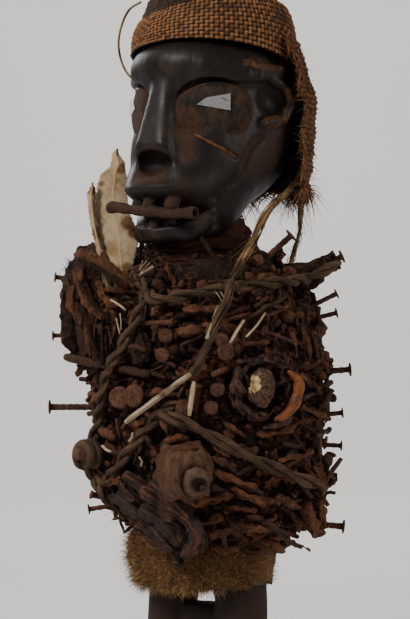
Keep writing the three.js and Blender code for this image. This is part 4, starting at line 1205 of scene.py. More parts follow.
shoulder_rolls = gathered([
    twisted_roll(path_in_view(path), width, 16, 4, 0.03)
    for path, width in (
        ([(-111, 26, 492), (-94, 42, 488), (-76, 53, 475), (-61, 58, 467)], 0.016),
        ([(-107, 34, 482), (-103, 43, 464), (-95, 51, 448), (-82, 60, 440)], 0.015),
        ([(-88, 47, 494), (-80, 52, 482), (-70, 58, 470)], 0.011),
        ([(-113, 24, 470), (-112, 30, 450), (-104, 40, 432)], 0.013),
        ([(-90, 50, 470), (-84, 56, 456), (-72, 62, 447)], 0.012),
    )
])
shoulder_rolls = roughened(shoulder_rolls, [(0.012, 0.0022, 3, True), (0.004, 0.0012, 3, True)])
give(piece("shoulder_rolls", shoulder_rolls, earth_look, "resin_and_earth"), "tone", 0.75)

shoulder_strips = []
for i in range(24):
    around = -60 + 2.1 * i
    top = 476 - 1.1 * i + shape_dice.normal(0, 5)
    low = shape_dice.uniform(392, 424)
    path = [
        on_crust(
            around + shape_dice.normal(0, 2), top + (low - top) * share, 2 + shape_dice.normal(0, 1.4)
        )
        for share in (0, 0.3, 0.6, 1)
    ]
    shoulder_strips.append(tube(
        through(path, 0.002), shape_dice.uniform(0.005, 0.011), 10, 0.35, shape_dice.uniform(-0.4, 0.4)
    ))
shoulder_strips = roughened(gathered(shoulder_strips), [(0.004, 0.0016, 3, True)])
give(piece("shoulder_strips", shoulder_strips, earth_look, "resin_and_earth"), "tone", 0.3)
bristle_line = np.array([
    in_view(-116 + 5 * t, 16 + 6 * t, 486 - 74 * t) for t in np.linspace(0, 1, 30)
])
shoulder_tufts = [stray_fibres(bristle_line, 320, 0.014, 0.0006, 0.4, 1.0)]
for path in (
    [(-108, 40, 488), (-92, 58, 482), (-72, 68, 470)],
    [(-106, 44, 470), (-96, 58, 455), (-82, 66, 440)],
    [(-104, 44, 450), (-98, 54, 430), (-90, 62, 405)],
):
    shoulder_tufts.append(
        stray_fibres(through(path_in_view(path), 0.003), 240, 0.012, 0.0006, 0.8, 0.7)
    )
piece("shoulder_bristles", gathered(shoulder_tufts), bark_look, "fur")


# Crust: resin, earth, cloth and hundreds of driven and tied-in nails, twigs and fibres, built
# up round the trunk by hand over many years until they hold as one mass. The larger rolls,
# packets and sticks are laid one by one, and the small stuff is set over all that is left bare.

def tree_of(names):
    """A search tree over the surfaces of some of the CAD solids."""
    return tree_over(gathered([shape_of(nodes[name].data) for name in names]))


PICTURE_STEP = 0.85
PICTURE_MIDDLE = 207
PICTURE_TOP = 709
front_tree = tree_of([
    "crust", "resin_lump", "belly_pack", "leather_folds", "fur_skirt",
    *(f"bundle_{i}" for i in range(1, 6)),
])


def pictured(across, down, along=0):
    """The point at a place in the picture, by how far it is towards the camera."""
    return in_view((across - PICTURE_MIDDLE) * PICTURE_STEP, along, PICTURE_TOP - PICTURE_STEP * down)


def seen(across, down, out):
    """The point of the figure's front at a place in the picture, brought forward by out."""
    aim = Vector(pictured(across, down))
    way = (aim - camera.location).normalized()
    hit = front_tree.ray_cast(camera.location, way)[0] or aim
    return np.array(hit - way * out * STEP)


crust_made = skinned("crust", 0.0023, (0.03, 0.005, 3, False), (0.009, 0.004, 3, True), swell=-0.002)
crust = piece("crust_mass", crust_made, earth_look, "resin_and_earth", "crust")
# Its hollows, for the earth's painted shade.
give(crust, "hollow", sunk(crust_made))

ROLLS = [
    (12, 1, (199, 526), (211, 520), (224, 515)), (10, 2, (222, 511), (240, 508), (257, 513)),
    (9.5, 0, (244, 535), (259, 530), (274, 529)), (14, 2, (210, 543), (224, 549), (239, 544)),
    (13, 1, (276, 496), (287, 502), (297, 507)), (17, 0, (304, 501), (310, 517), (317, 534)),
    (11, 1, (318, 499), (322, 509), (324, 521)), (10, 2, (229, 487), (248, 496), (266, 506)),
    (14, 1, (311, 466), (319, 479), (322, 494)), (12, 1, (166, 442), (178, 437), (190, 441)),
    (10, 2, (174, 449), (186, 451), (199, 448)), (9, 1, (211, 412), (227, 424), (249, 439)),
    (10, 2, (256, 434), (281, 432), (304, 420)), (10, 1, (278, 463), (292, 456), (307, 461)),
    (12, 1, (99, 474), (111, 482), (122, 479)), (14, 1, (104, 429), (110, 435), (117, 439)),
    (11, 2, (266, 541), (273, 545), (281, 550)), (11, 1, (240, 551), (250, 553), (260, 551)),
    (10, 1, (290, 512), (295, 521), (299, 531)), (12, 0, (181, 312), (200, 309), (219, 310)),
    (14, 1, (176, 334), (192, 330), (208, 328)), (9, 1, (302, 325), (308, 344), (311, 362)),
    (10, 2, (299, 375), (313, 384), (322, 396)), (10, 1, (300, 407), (315, 412), (328, 419)),
    (8, 2, (290, 330), (296, 345), (297, 360)), (9, 1, (270, 480), (284, 477), (297, 483)),
    (11, 2, (150, 396), (163, 391), (175, 397)), (9, 1, (158, 413), (165, 425), (168, 436)),
    (8, 1, (97, 455), (104, 462), (112, 465)), (10, 2, (255, 461), (262, 470), (272, 474)),
    (9, 1, (230, 520), (237, 527), (240, 537)), (10, 2, (277, 512), (272, 520), (262, 524)),
    (11, 2, (206, 468), (232, 480), (259, 491)), (12, 2, (188, 505), (210, 498), (236, 494)),
    (9, 1, (200, 480), (214, 487), (230, 490)), (7, 1, (182, 494), (190, 503), (202, 506), (211, 501)),
    (9, 1, (208, 455), (222, 462), (240, 468)), (8, 2, (212, 446), (224, 452), (232, 458)),
]
STICKS = [
    (5, (266, 521), (289, 536)), (4.5, (313, 337), (318, 360)), (5, (303, 398), (331, 382)),
    (4, (255, 307), (268, 297)), (3, (180, 346), (203, 335)), (4, (315, 436), (331, 429)),
    (4, (296, 369), (297, 389)), (5, (222, 459), (236, 472)), (4, (236, 476), (256, 463)),
    (4.5, (245, 484), (262, 493)), (5, (281, 443), (302, 447)), (4, (223, 533), (226, 547)),
    (4, (286, 540), (301, 548)), (3.5, (274, 352), (291, 361)), (4, (254, 357), (262, 372)),
    (4.5, (163, 357), (176, 367)), (4, (150, 372), (166, 378)), (3.5, (276, 384), (300, 377)),
    (4, (129, 345), (147, 350)), (4, (139, 430), (151, 443)), (4, (95, 441), (104, 452)),
    (5, (247, 516), (262, 519)), (4.5, (300, 484), (311, 497)), (4, (240, 445), (253, 452)),
]


rolls = []
for i, (width, twists, *path) in enumerate(ROLLS):
    rolls.append(twisted_roll(
        [seen(*spot, 1.5 + 2 * (place == 1)) for place, spot in enumerate(path)],
        width * STEP, 16, 2 + i % 3, (0.09, 0.035, 0.022)[twists],
    ))
rolls_made = roughened(gathered(rolls), [(0.012, 0.0015, 3, False), (0.004, 0.0011, 3, True)])
laid_rolls = piece("laid_rolls", rolls_made, earth_look, "resin_and_earth")
roll_tones = shape_dice.uniform(0.4, 1, len(rolls))
give(laid_rolls, "tone", np.repeat(roll_tones, [len(roll[0]) for roll in rolls]))

sticks = []
for width, *ends in STICKS:
    line = through([seen(*spot, 3) for spot in ends], 0.003)
    line = line + shape_dice.normal(0, 0.0004, line.shape)
    sticks.append(tube(line, width * STEP * (1 + shape_dice.normal(0, 0.09, len(line))), 9))
piece("laid_sticks", gathered(sticks), bark_look, "stick")

apart = ("crust", "figure", "fur_skirt", "cap")
near_tree = tree_of([name for name in nodes if name not in apart and not name.startswith("nail")])
laid_tree = tree_over(gathered([rolls_made, gathered(sticks)]))
crust_points, crust_faces, _ = crust_made
room = np.array([
    min(near_tree.find_nearest(Vector(p))[3], laid_tree.find_nearest(Vector(p))[3] + 0.002)
    for p in crust_points.tolist()
])
facing_out = (outwards(crust_points, crust_faces)[:, :2] * crust_points[:, :2]).sum(1)
facing_out /= np.hypot(crust_points[:, 0], crust_points[:, 1])
give(crust, "room", np.where(facing_out > -0.2, room, 0))


class Growing:
    """A Geometry Nodes tree with named inputs, built node by node."""

    def __init__(self, name, **inputs):
        self.tree = bpy.data.node_groups.new(name, "GeometryNodeTree")
        for socket, kind in inputs.items():
            self.tree.interface.new_socket(
                name=socket, in_out="INPUT", socket_type="NodeSocket" + kind
            )
        self.tree.interface.new_socket(name="Made", in_out="OUTPUT", socket_type="NodeSocketGeometry")
        self.given = self.tree.nodes.new("NodeGroupInput")

    def input(self, name):
        return Wire(self, self.given.outputs[name])

    node = Look.node
    feed = Look.feed

    def finish(self, made):
        end = self.tree.nodes.new("NodeGroupOutput")
        self.feed(end.inputs["Made"], made)


grow = Growing(
    "set_over_a_surface", Surface="Geometry", Shapes="Collection", Finish="Material",
    Density="Float", Seed="Int", Smallest="Float", Largest="Float", Lean="Float",
    Sink="Float", Room="Float",
)
room_here = grow.node("GeometryNodeInputNamedAttribute", {"data_type": "FLOAT"}, {"Name": "room"})
enough = grow.node(
    "ShaderNodeMath", {"operation": "GREATER_THAN"}, {0: room_here, 1: grow.input("Room")}
)
spread = grow.tree.nodes.new("GeometryNodeDistributePointsOnFaces")
grow.feed(spread.inputs["Mesh"], grow.input("Surface"))
grow.feed(spread.inputs["Density"], grow.input("Density") * enough)
grow.feed(spread.inputs["Seed"], grow.input("Seed"))
lean = grow.input("Lean")
lowest = grow.node("ShaderNodeCombineXYZ", None, {0: 0 - lean, 1: 0 - lean})
highest = grow.node("ShaderNodeCombineXYZ", None, {0: lean, 1: lean, 2: 2 * math.pi})
turned_by = grow.node(
    "FunctionNodeRandomValue", {"data_type": "FLOAT_VECTOR"},
    {0: lowest, 1: highest, 8: grow.input("Seed")},
)
tilt = grow.node("FunctionNodeEulerToRotation", None, {0: turned_by})
stance = grow.node(
    "FunctionNodeRotateRotation", {"rotation_space": "LOCAL"},
    {0: Wire(grow, spread.outputs["Rotation"]), 1: tilt},
)
size = grow.node(
    "FunctionNodeRandomValue", {"data_type": "FLOAT"},
    {2: grow.input("Smallest"), 3: grow.input("Largest"), 8: grow.input("Seed") + 7}, 1,
)
shapes = grow.node(
    "GeometryNodeCollectionInfo", None,
    {"Collection": grow.input("Shapes"), "Separate Children": True, "Reset Children": True},
)
copies = grow.node("GeometryNodeInstanceOnPoints", None, {
    "Points": Wire(grow, spread.outputs["Points"]), "Instance": shapes, "Pick Instance": True,
    "Rotation": stance, "Scale": size,
})
depth = grow.node("ShaderNodeCombineXYZ", None, {2: 0 - grow.input("Sink")})
copies = grow.node(
    "GeometryNodeTranslateInstances", None,
    {"Instances": copies, "Translation": depth, "Local Space": True},
)
tone = grow.node("FunctionNodeRandomValue", {"data_type": "FLOAT"}, {8: grow.input("Seed") + 3}, 1)
copies = grow.node(
    "GeometryNodeStoreNamedAttribute", {"data_type": "FLOAT", "domain": "INSTANCE"},
    {"Geometry": copies, "Name": "tone", "Value": tone},
)
real = grow.node("GeometryNodeRealizeInstances", None, {"Geometry": copies})
grow.finish(grow.node(
    "GeometryNodeSetMaterial", None, {"Geometry": real, "Material": grow.input("Finish")}
))


def set_over(name, surface, shapes, look, slot, **amounts):
    """Many copies of a few shapes set over a piece, as one piece; amounts are the tree's inputs."""
    kinds = bpy.data.collections.new(name + "_shapes")
    for i, (points, faces, grain) in enumerate(shapes):
        mesh = bpy.data.meshes.new(name)
        mesh.from_pydata(np.asarray(points, float).tolist(), [], faces)
        grained(mesh, grain)
        mesh.update()
        kinds.objects.link(bpy.data.objects.new(f"{name}_{i}", mesh))
    ground = bpy.data.objects.new(name, surface.data)
    bpy.context.scene.collection.objects.link(ground)
    growth = ground.modifiers.new(name, "NODES")
    growth.node_group = grow.tree
    socket = {item.name: item.identifier for item in grow.tree.interface.items_tree}
    for key, value in {"Shapes": kinds, "Finish": look.material, **amounts}.items():
        growth[socket[key]] = value
    bpy.context.view_layer.update()
    depsgraph = bpy.context.evaluated_depsgraph_get()
    mesh = bpy.data.meshes.new_from_object(ground.evaluated_get(depsgraph))
    mesh.name = name
    bpy.data.objects.remove(ground)
    for shape in list(kinds.objects):
        bpy.data.objects.remove(shape)
    bpy.data.collections.remove(kinds)
    return dressed(name, mesh, look, slot)


def bent_stick(length, width, bend, sides=6, steps=7, flat=1.0, turns=0.0):
    """A stick or twisted shred along the surface, thicker in its middle and bent sideways."""
    x = np.linspace(-0.5, 0.5, steps)
    line = np.stack([
        x * length,
        bend * length * (x * 2) ** 2 * shape_dice.choice([-1, 1])
        + shape_dice.normal(0, width * 0.12, steps),
        width * 0.3 + shape_dice.normal(0, width * 0.12, steps),
    ], 1)
    widths = width * (1 - 0.4 * np.abs(2 * x)) * (1 + shape_dice.normal(0, 0.14, steps))
    return tube(line, widths, sides, flat, turns)


def driven_nail(length, head, shank, sides=10, way=(0, 0, 1), start=(0, 0, 0)):
    """A forged nail standing up from the surface, its head hammered out of true."""
    lean = shape_dice.normal(0, 0.05, 2)
    rows = [
        (-6, 0), (-6, shank * 0.4), (length * 0.5, shank * 0.5), (length - 2.6, shank * 0.52),
        (length - 2.1, head * 0.42), (length - 1.2, head * 0.5), (length - 0.3, head * 0.44),
        (length + 0.2, head * 0.24), (length + 0.3, 0),
    ]
    way = np.array(way) + np.array([0, *lean])
    return turned(np.array(start), way, rows, sides, 0.13)


def crumb(size, sides=6, uneven=0.4):
    """A rough lump of earth or resin."""
    rows = [(-size * 0.45, 0), (-size * 0.3, size * 0.4), (0, size * 0.52), (size * 0.28, size * 0.42),
            (size * 0.42, size * 0.2), (size * 0.45, 0)]
    return turned(np.zeros(3), (shape_dice.normal(), shape_dice.normal(), 1), rows, sides, uneven)


def wisp(length, width):
    """A single fibre that curls up from the surface."""
    steps = np.linspace(0, 1, 5)
    curl = shape_dice.normal(0, 0.3, 2)
    line = np.stack([
        steps * length * 0.9, curl[0] * length * steps ** 2,
        length * (0.35 * steps + curl[1] * steps ** 2),
    ], 1)
    return tube(line, width * (1.05 - steps), 3)


rust_look = Look("rusted_iron", roughness=0.8)
rust_tone = rust_look.attribute("tone")
rust_cloud = rust_look.speckle(110, 5)
rust_grit = rust_look.speckle(420, 5, 0.7)
rust_look.set(base_color=rust_look.patched(
    rust_look.part(rust_cloud + (rust_tone - 0.5) * 0.5, 0.3, 0.75),
    rust_look.part(rust_grit, 0.3, 0.7),
    ((0.014, 0.006, 0.004), (0.065, 0.026, 0.015)),
    ((0.045, 0.018, 0.01), (0.14, 0.06, 0.033)),
))
rust_look.bump(rust_grit + rust_cloud, 0.0012, 0.9)

set_over(
    "crust_nails", crust, [driven_nail(*size) for size in (
        (5, 10.5, 4.5), (8, 11.5, 5), (11, 10, 4.2), (14, 11, 4.8), (6, 8.5, 4), (3, 10, 4.4),
    )], rust_look, "iron",
    Density=1500.0, Seed=4, Smallest=0.75, Largest=1.1, Lean=0.6, Room=0.008,
)
set_over(
    "crust_lying_nails", crust, [
        driven_nail(length, head, shank, 9, (1, 0, 0.05), (-length * 0.0005, 0, 0.0035))
        for length, head, shank in ((30, 9, 4.6), (38, 10, 5), (24, 8, 4.2), (33, 8.5, 5.4))
    ], rust_look, "iron",
    Density=1500.0, Seed=41, Smallest=0.7, Largest=1.1, Lean=0.3, Room=0.007,
)
set_over(
    "crust_sticks", crust, [bent_stick(*size) for size in (
        (0.024, 0.0048, 0.05), (0.034, 0.0042, 0.03), (0.02, 0.006, 0.1), (0.03, 0.005, 0.06),
        (0.016, 0.0042, 0.1), (0.026, 0.0066, 0.04),
    )], bark_look, "resin_and_earth",
    Density=1700.0, Seed=9, Smallest=0.6, Largest=1.15, Lean=0.5, Room=0.005,
)
set_over(
    "crust_shreds", crust, [bent_stick(*size, 8, 10, 0.65, turns) for size, turns in (
        ((0.03, 0.009, 0.1), 1.0), ((0.024, 0.0075, 0.2), 1.4), ((0.034, 0.007, 0.15), 2.0),
        ((0.02, 0.011, 0.1), 0.5), ((0.028, 0.012, 0.12), 0.7), ((0.04, 0.0065, 0.2), 2.5),
    )], earth_look, "resin_and_earth",
    Density=2300.0, Seed=57, Smallest=0.6, Largest=1.15, Lean=0.45, Room=0.006,
)
set_over(
    "crust_lumps", crust, [crumb(size, 9, 0.45) for size in (11, 13, 9, 15, 12, 10)],
    earth_look, "resin_and_earth",
    Density=2300.0, Seed=73, Smallest=0.7, Largest=1.15, Lean=1.2, Sink=0.002, Room=0.008,
)
set_over(
    "crust_crumbs", crust, [crumb(size) for size in (3.5, 5.0, 6.5, 3.0, 7.5, 4.5)],
    earth_look, "resin_and_earth",
    Density=11500.0, Seed=14, Smallest=0.6, Largest=1.3, Lean=1.2, Room=0.0035,
)
set_over(
    "crust_fibres", crust, [wisp(*size) for size in (
        (0.012, 0.0006), (0.02, 0.0007), (0.016, 0.0005), (0.024, 0.0006), (0.009, 0.0008),
    )], raffia_look, "raffia",
    Density=7000.0, Seed=21, Smallest=0.5, Largest=1.1, Lean=0.8, Room=0.003,
)


# Belly: a lump of resin on the chest, a hide-covered medicine bundle on the belly, and the
# shell set in it, its spire worn open on one side.

hide_look = Look("bundle_hide", roughness=0.75)
hide_streak = hide_look.speckle(150, 5, stretch=(1, 1, 0.22))
hide_cloud = hide_look.speckle(45, 4)
hide_grit = hide_look.speckle(500, 3)
hide_look.set(
    base_color=hide_look.mixed(
        hide_look.part(hide_streak + (hide_grit - 0.5) * 0.4, 0.25, 0.7), (0.03, 0.013, 0.007),
        hide_look.mixed(hide_cloud, (0.055, 0.025, 0.013), (0.12, 0.062, 0.033)),
    )
)
hide_look.bump(hide_streak * 1.5 + hide_cloud + hide_grit * 0.3, 0.0016, 0.8)

shell_look = Look("worn_shell", roughness=0.6)
shell_hollow_shade = shell_look.attribute("hollow")
shell_cloud = shell_look.speckle(120, 5)
shell_grit = shell_look.speckle(600, 3)
# Painted shade: the shell is painted darker the deeper a point lies in its worn opening.
shell_look.set(
    base_color=shell_look.mixed(
        shell_look.part(shell_cloud + (shell_grit - 0.5) * 0.4 - shell_hollow_shade * 0.6, 0.1, 0.65),
        (0.02, 0.009, 0.006), (0.09, 0.056, 0.037),
    )
)
shell_look.bump(shell_cloud + shell_grit * 0.4, 0.0012, 0.8)

lumpy("resin_lump_crust", "resin_lump", 0.0013, LUMPS, earth_look, "resin_and_earth")
lumpy(
    "belly_pack_hide", "belly_pack", 0.0014, [(0.014, 0.0016, 3, False), (0.004, 0.0008, 3, True)],
    hide_look, "old_leather", stretch=(1, 1, 0.35),
)
SHEET_ROWS = 44
SHEET_COLUMNS = 64


def sheet_faces(rows, columns):
    """The faces of a sheet: its front grid of points, its back one, and the rim between."""
    back = rows * columns
    starts = [i * columns + j for i in range(rows - 1) for j in range(columns - 1)]
    faces = [(a, a + columns, a + columns + 1, a + 1) for a in starts]
    faces += [(back + a, back + a + 1, back + a + columns + 1, back + a + columns) for a in starts]
    rim = [*range(columns - 1), *range(columns - 1, back - 1, columns),
           *range(back - 1, back - columns, -1), *range(back - columns, 0, -columns)]
    return faces + [(a, b, back + b, back + a) for a, b in zip(rim, rim[1:] + rim[:1])]


hide_front, hide_behind = [], []
for down in np.linspace(-1, 1, SHEET_ROWS):
    for aside in np.linspace(-1, 1, SHEET_COLUMNS):
        within = min(4 * (1 - max(abs(aside), abs(down))), 1)
        x, y = aside * (1 - 0.17 * down ** 2), down * (1 - 0.17 * aside ** 2)
        ragged = 1 + 0.16 * noise.noise(Vector((x * 3, y * 3, 9)))
        spot = 184 + 30 * x * ragged, 471 + 31 * y * ragged
        fold = noise.noise(Vector((x * 7 + y * 1.5, y, 0)))
        fold += 0.5 * noise.noise(Vector((x * 17, y * 3, 4)))
        hide_front.append(seen(*spot, 7 * within ** 0.5 + 4 * fold * within))
        hide_behind.append(seen(*spot, -5))
hide_faces = sheet_faces(SHEET_ROWS, SHEET_COLUMNS)
front_faces = hide_faces[:(SHEET_ROWS - 1) * (SHEET_COLUMNS - 1)]
sheet_points = np.concatenate([smoothed(np.array(hide_front), front_faces, 9), hide_behind])
piece("belly_hide_sheet", (sheet_points, hide_faces, sheet_points), hide_look, "old_leather")

shell_way = outward(33, -0.1)
shell_middle = on_crust(33, 309, 18)
shell_rows = [(-4, 0), (-4, 11)]
shell_rows += [
    (9 * math.sin(turn), 12.5 * math.cos(turn)) for turn in np.linspace(0, math.pi / 2, 16)[:-1]
]
points, faces, grain = turned(shell_middle, shell_way, [*shell_rows, (9, 0)], 40, 0.1)
hollow_middle = shell_middle + np.array(to_the_right) * 0.004 + shell_way * 0.008
hollow_middle[2] -= 0.003
off_x, off_z = ((points - hollow_middle) @ np.array([to_the_right, (0, 0, 1)]).T / STEP).T
deep = np.clip(1.1 - np.hypot(off_x / 6.5, off_z / 6), 0, 1) ** 0.5
deep = deep * (1 - 0.7 * np.exp(-((off_x - 2) ** 2 + (off_z + 2) ** 2) / 8)) * (grain[:, 2] > 0)
points = points - shell_way * (deep * 0.0085)[:, None]
shell = piece("navel_shell_ring", (points, faces, grain), shell_look, "pod", "navel_shell")
# The opening's depth, for the shell's painted shade.
give(shell, "hollow", deep)


# Nails: the forged nails and tacks that stand clear of the crust, each driven in to seal an
# oath, three more that lie on it, and the two iron discs joined edge to edge. All rusted.

def forged_nail(name):
    """A detailed nail on the axis of a CAD one: an uneven round shank and a hammered head."""
    corners = shape_of(nodes[name].data)[0]
    middle = corners.mean(0)
    way = np.linalg.svd(corners - middle)[2][0]
    far = (corners - middle) @ way
    wide = np.linalg.norm(corners - middle - far[:, None] * way, axis=1)
    if wide[far > far.max() - 0.004].max() < wide[far < far.min() + 0.004].max():
        way, far = -way, -far
    head = wide.max() / STEP
    behind = far < far.max() - 0.008
    shank = np.median(wide[behind]) / STEP if behind.any() else head * 0.4
    length = (far.max() - far.min()) / STEP
    thick = head * 0.55
    rows = [(0, 0), (0.5, shank * 0.8)]
    rows += [
        (gone, shank * (1 + 0.08 * math.sin(gone))) for gone in np.arange(3, length - thick - 1, 3)
    ]
    rows += [(length - thick * back, radius) for back, radius in (
        (0.75, shank * 1.05), (0.62, head * 0.72), (0.5, head * 0.98), (0.25, head),
        (0.1, head * 0.86), (0.0, head * 0.5),
    )]
    rows.append((length + 0.1, 0))
    return turned(middle + way * far.min(), way, rows, 18, 0.09)


for name in sorted(nodes):
    if name.startswith(("nail_", "lying_nail", "stub_nail")):
        give(piece(name + "_forged", forged_nail(name), rust_look, "iron", name), "tone", 0.45)
disc_rows = [
    (-1, 0), (-1, 7), (0, 9.2), (1.6, 9.6), (2.7, 9.2), (3.2, 7.6), (2.9, 5), (3.1, 2.4), (2.9, 0),
]
discs = gathered([
    turned(on_crust(around, z, 3), outward(10), disc_rows, 24, 0.07)
    for around, z in ((-8, 374), (1, 376))
])
give(piece("disc_pair_iron", discs, rust_look, "iron", "disc_pair"), "tone", 0.6)


# Ropes: three cords of bark fibre, each laid of two strands. One crosses the chest and one the
# belly, and the side one is wound twice round a wooden peg at the hip.

def laid_rope(points, width, pitch):
    """Two twisted strands along a path, each uneven in width, and the loose fibres on them."""
    line = through(points, 0.002)
    across, over = frames_along(line)
    gone = gone_along(line)
    strands = []
    for strand in (0, 1):
        turn = (2 * math.pi * (gone + 0.003 * np.sin(gone * 45)) / pitch + math.pi * strand)[:, None]
        middle = line + (across * np.cos(turn) + over * np.sin(turn)) * width * 0.23
        uneven = 1 + 0.07 * np.sin(gone * 400 + strand) + 0.07 * np.sin(gone * 170 + 2 * strand)
        uneven[:2] *= 0.8
        uneven[-2:] *= 0.8
        strands.append(tube(middle, width * 0.52 * uneven, 12))
    fuzz = stray_fibres(line, int(gone[-1] * 900), 0.009, 0.0004, 0.2, 0.8)
    rope = roughened(gathered(strands), [(0.003, 0.0005, 2, False)], keep_grain=True)
    return rope, fuzz


rope_look = Look("bark_rope", roughness=0.9)
rope_fibre = rope_look.streaks(900, 5, 0.05)
rope_cloud = rope_look.speckle(60, 5)
rope_look.set(base_color=rope_look.patched(
    rope_look.part(rope_cloud, 0.3, 0.7), rope_look.part(rope_fibre, 0.3, 0.65),
    ((0.013, 0.008, 0.005), (0.056, 0.034, 0.02)),
    ((0.028, 0.017, 0.01), (0.12, 0.072, 0.042)),
))
rope_look.bump(rope_fibre * 1.4 + rope_cloud * 0.4, 0.0012, 1.0)


def crust_trail(places):
    """Points out from the crust at several directions and heights."""
    return [on_crust(*place) for place in places]


peg_way = outward(-12, 0.02)
peg_foot = on_crust(-28, 326, -22)
peg_up = np.array([0, 0, 1]) - peg_way * peg_way[2]
peg_side = np.cross(peg_way, peg_up)
winding = []
for share in np.linspace(0, 1, 41):
    turn = math.radians(100) + 2 * math.pi * 2.1 * share
    reach = 0.0086 - 0.0012 * share
    winding.append(
        peg_foot + peg_way * (0.0265 + 0.0125 * share)
        + (peg_up * math.cos(turn) + peg_side * math.sin(turn)) * reach
    )
side_above = crust_trail([(-5, 472, 7), (3, 461, 5), (1.6, 444, 4), (-5.3, 417, 3), (-13.9, 398, 3),
                          (-22.6, 371, 3), (-29, 347, 4)])
side_below = crust_trail([(-24, 307, 5), (-16, 305, 4), (-10, 314, 4), (0, 334, 4), (10, 353, 4),
                          (16, 364, 4), (25, 372, 1)])
side_end = crust_trail([(-25, 308, 4), (-22, 296, 6), (-20, 285, 4)])
chest_points = crust_trail([(4, 462, 4), (8, 455, 6), (20.6, 456, 7), (34, 460, 7), (51, 463.5, 8),
                            (70, 467, 8), (92, 470, 8)])
chest_points += path_in_view([(84, 28, 472), (98, 15, 478), (112, 9, 486)])
belly_points = crust_trail([(15, 363, 3), (19, 360, 7), (28.8, 353.5, 7), (39.4, 344, 7), (53, 331, 7),
                            (67, 319, 7), (83.5, 308, 6), (98, 300, 5), (106, 295, 0)])
rope_fuzz = []
for name, paths, width, pitch in (
    ("chest_rope", [chest_points], 0.0118, 0.05),
    ("side_rope", [side_above + winding[:2], winding[-2:] + side_below, side_end], 0.0115, 0.038),
    ("belly_rope", [belly_points], 0.0128, 0.085),
):
    parts = []
    for path in paths:
        rope, fuzz = laid_rope(path, width, pitch)
        parts.append(rope)
        rope_fuzz.append(fuzz)
    if name == "side_rope":
        parts.append(tube(through(winding, 0.0015), 0.0094, 16))
    piece(name + "_strands", gathered(parts), rope_look, "rope", name)
piece("rope_fuzz", gathered(rope_fuzz), raffia_look, "rope")
peg_rows = [(0, 0), (0, 5.4)] + [(far, 5.2) for far in range(5, 40, 5)]
peg_rows += [(42, 5.3), (45, 4.6), (45.8, 2.6), (45.6, 0)]
piece("hip_peg_wood", turned(peg_foot, peg_way, peg_rows, 14, 0.08), hide_look, "stick", "hip_peg")


# Twig, reeds and grass: a dark twig thrust in at the left, two split pale reeds tied at the
# breast, dry grass twisted with dark fibre from them up to the shoulder, and a few loose straws.

reed_look = Look("pale_reed", roughness=0.6)
reed_streak = reed_look.streaks(800, 3, 0.04)
reed_stain = reed_look.speckle(70, 5)
reed_pale = reed_look.mixed(
    reed_look.part(reed_streak, 0.3, 0.7), (0.16, 0.11, 0.062), (0.42, 0.34, 0.225)
)
reed_look.set(base_color=reed_look.mixed(
    reed_look.part(reed_stain, 0.48, 0.7), reed_pale, (0.07, 0.04, 0.023)
))
reed_look.bump(reed_streak, 0.0007, 0.6)


def between(start, end, width, wobble, sides, spacing=0.004, flat=1.0):
    """A nearly straight stick from start to end with uneven thickness."""
    count = max(4, round(np.linalg.norm(end - start) / spacing))
    line = np.array([start + (end - start) * share for share in np.linspace(0, 1, count)])
    line = line + shape_dice.normal(0, wobble, line.shape)
    widths = width * (1 + shape_dice.normal(0, 0.05, count))
    widths[0] *= 0.75
    widths[-1] *= 0.7
    return tube(line, widths, sides, flat)


twig = between(in_view(-119, 22, 406), in_view(-47, 82, 393), 0.0076, 0.0004, 12)
piece("side_twig_bark", twig, bark_look, "stick", "side_twig")
for name, start, end, width in (
    ("reed_long", (-1, 354, 12), (30.6, 394, 14), 0.006),
    ("reed_short", (32, 388, 10), (30, 360, 12), 0.0058),
):
    split = between(on_crust(*start), on_crust(*end), width, 0.0001, 8, 0.006, 0.75)
    piece(name + "_split", split, reed_look, "reed", name)
grass_path = crust_trail([(30.6, 393, 7), (35, 407, 8), (39, 420, 8), (43, 436, 9), (48.4, 455, 15)])
grass_path.append(in_view(20, 86, 470))
grass_line = through(grass_path, 0.003)
across, over = frames_along(grass_line)
share = np.linspace(0, 1, len(grass_line))


def grass_blade(width, turn, far, flat):
    """A blade that winds slowly round the bundle's middle line."""
    turns = (turn + 3.2 * share)[:, None]
    spread = (far * (0.75 + 0.5 * np.abs(share - 0.4)))[:, None]
    path = grass_line + (across * np.cos(turns) + over * np.sin(turns)) * spread
    return tube(path, width * (1 + 0.2 * np.sin(share * 9 + turn)), 6, flat, 1)


piece(
    "grass_twisted",
    gathered([
        grass_blade(shape_dice.uniform(0.002, 0.0036), turn, shape_dice.uniform(0.001, 0.0036), 0.7)
        for turn in shape_dice.uniform(0, 6.3, 16)
    ]),
    rope_look, "reed", "grass_bundle",
)
loose_straws = []
for width, *ends in (
    (0.0028, (230, 343), (238, 329), (244, 320)), (0.0022, (246, 337), (257, 325), (265, 313)),
    (0.004, (207, 339), (212, 326), (219, 306)), (0.003, (209, 333), (215, 322), (218, 311)),
    (0.0036, (111, 300), (118, 304), (126, 310)), (0.0028, (116, 318), (118, 326), (120, 334)),
    (0.0022, (120, 313), (121, 322), (121, 330)), (0.0034, (133, 432), (132, 437), (129, 441)),
    (0.003, (139, 457), (142, 460), (141, 466)), (0.0044, (103, 446), (107, 450), (112, 452)),
    (0.0016, (213, 289), (219, 296), (222, 302)), (0.0016, (219, 283), (221, 292), (226, 301)),
):
    loose_straws.append(tube(through([seen(*spot, 9) for spot in ends], 0.004), width, 6, 0.55))
for width, start, end in ((0.0026, (141, 277), (155, 268)), (0.001, (142, 272), (149, 262)),
                          (0.0008, (143, 274), (152, 264)), (0.0008, (142, 270), (145, 262))):
    ends = [pictured(*spot, 74) for spot in (start, end)]
    loose_straws.append(tube(np.linspace(*ends, 5), width, 6))
piece("loose_straws", gathered(loose_straws), reed_look, "reed")
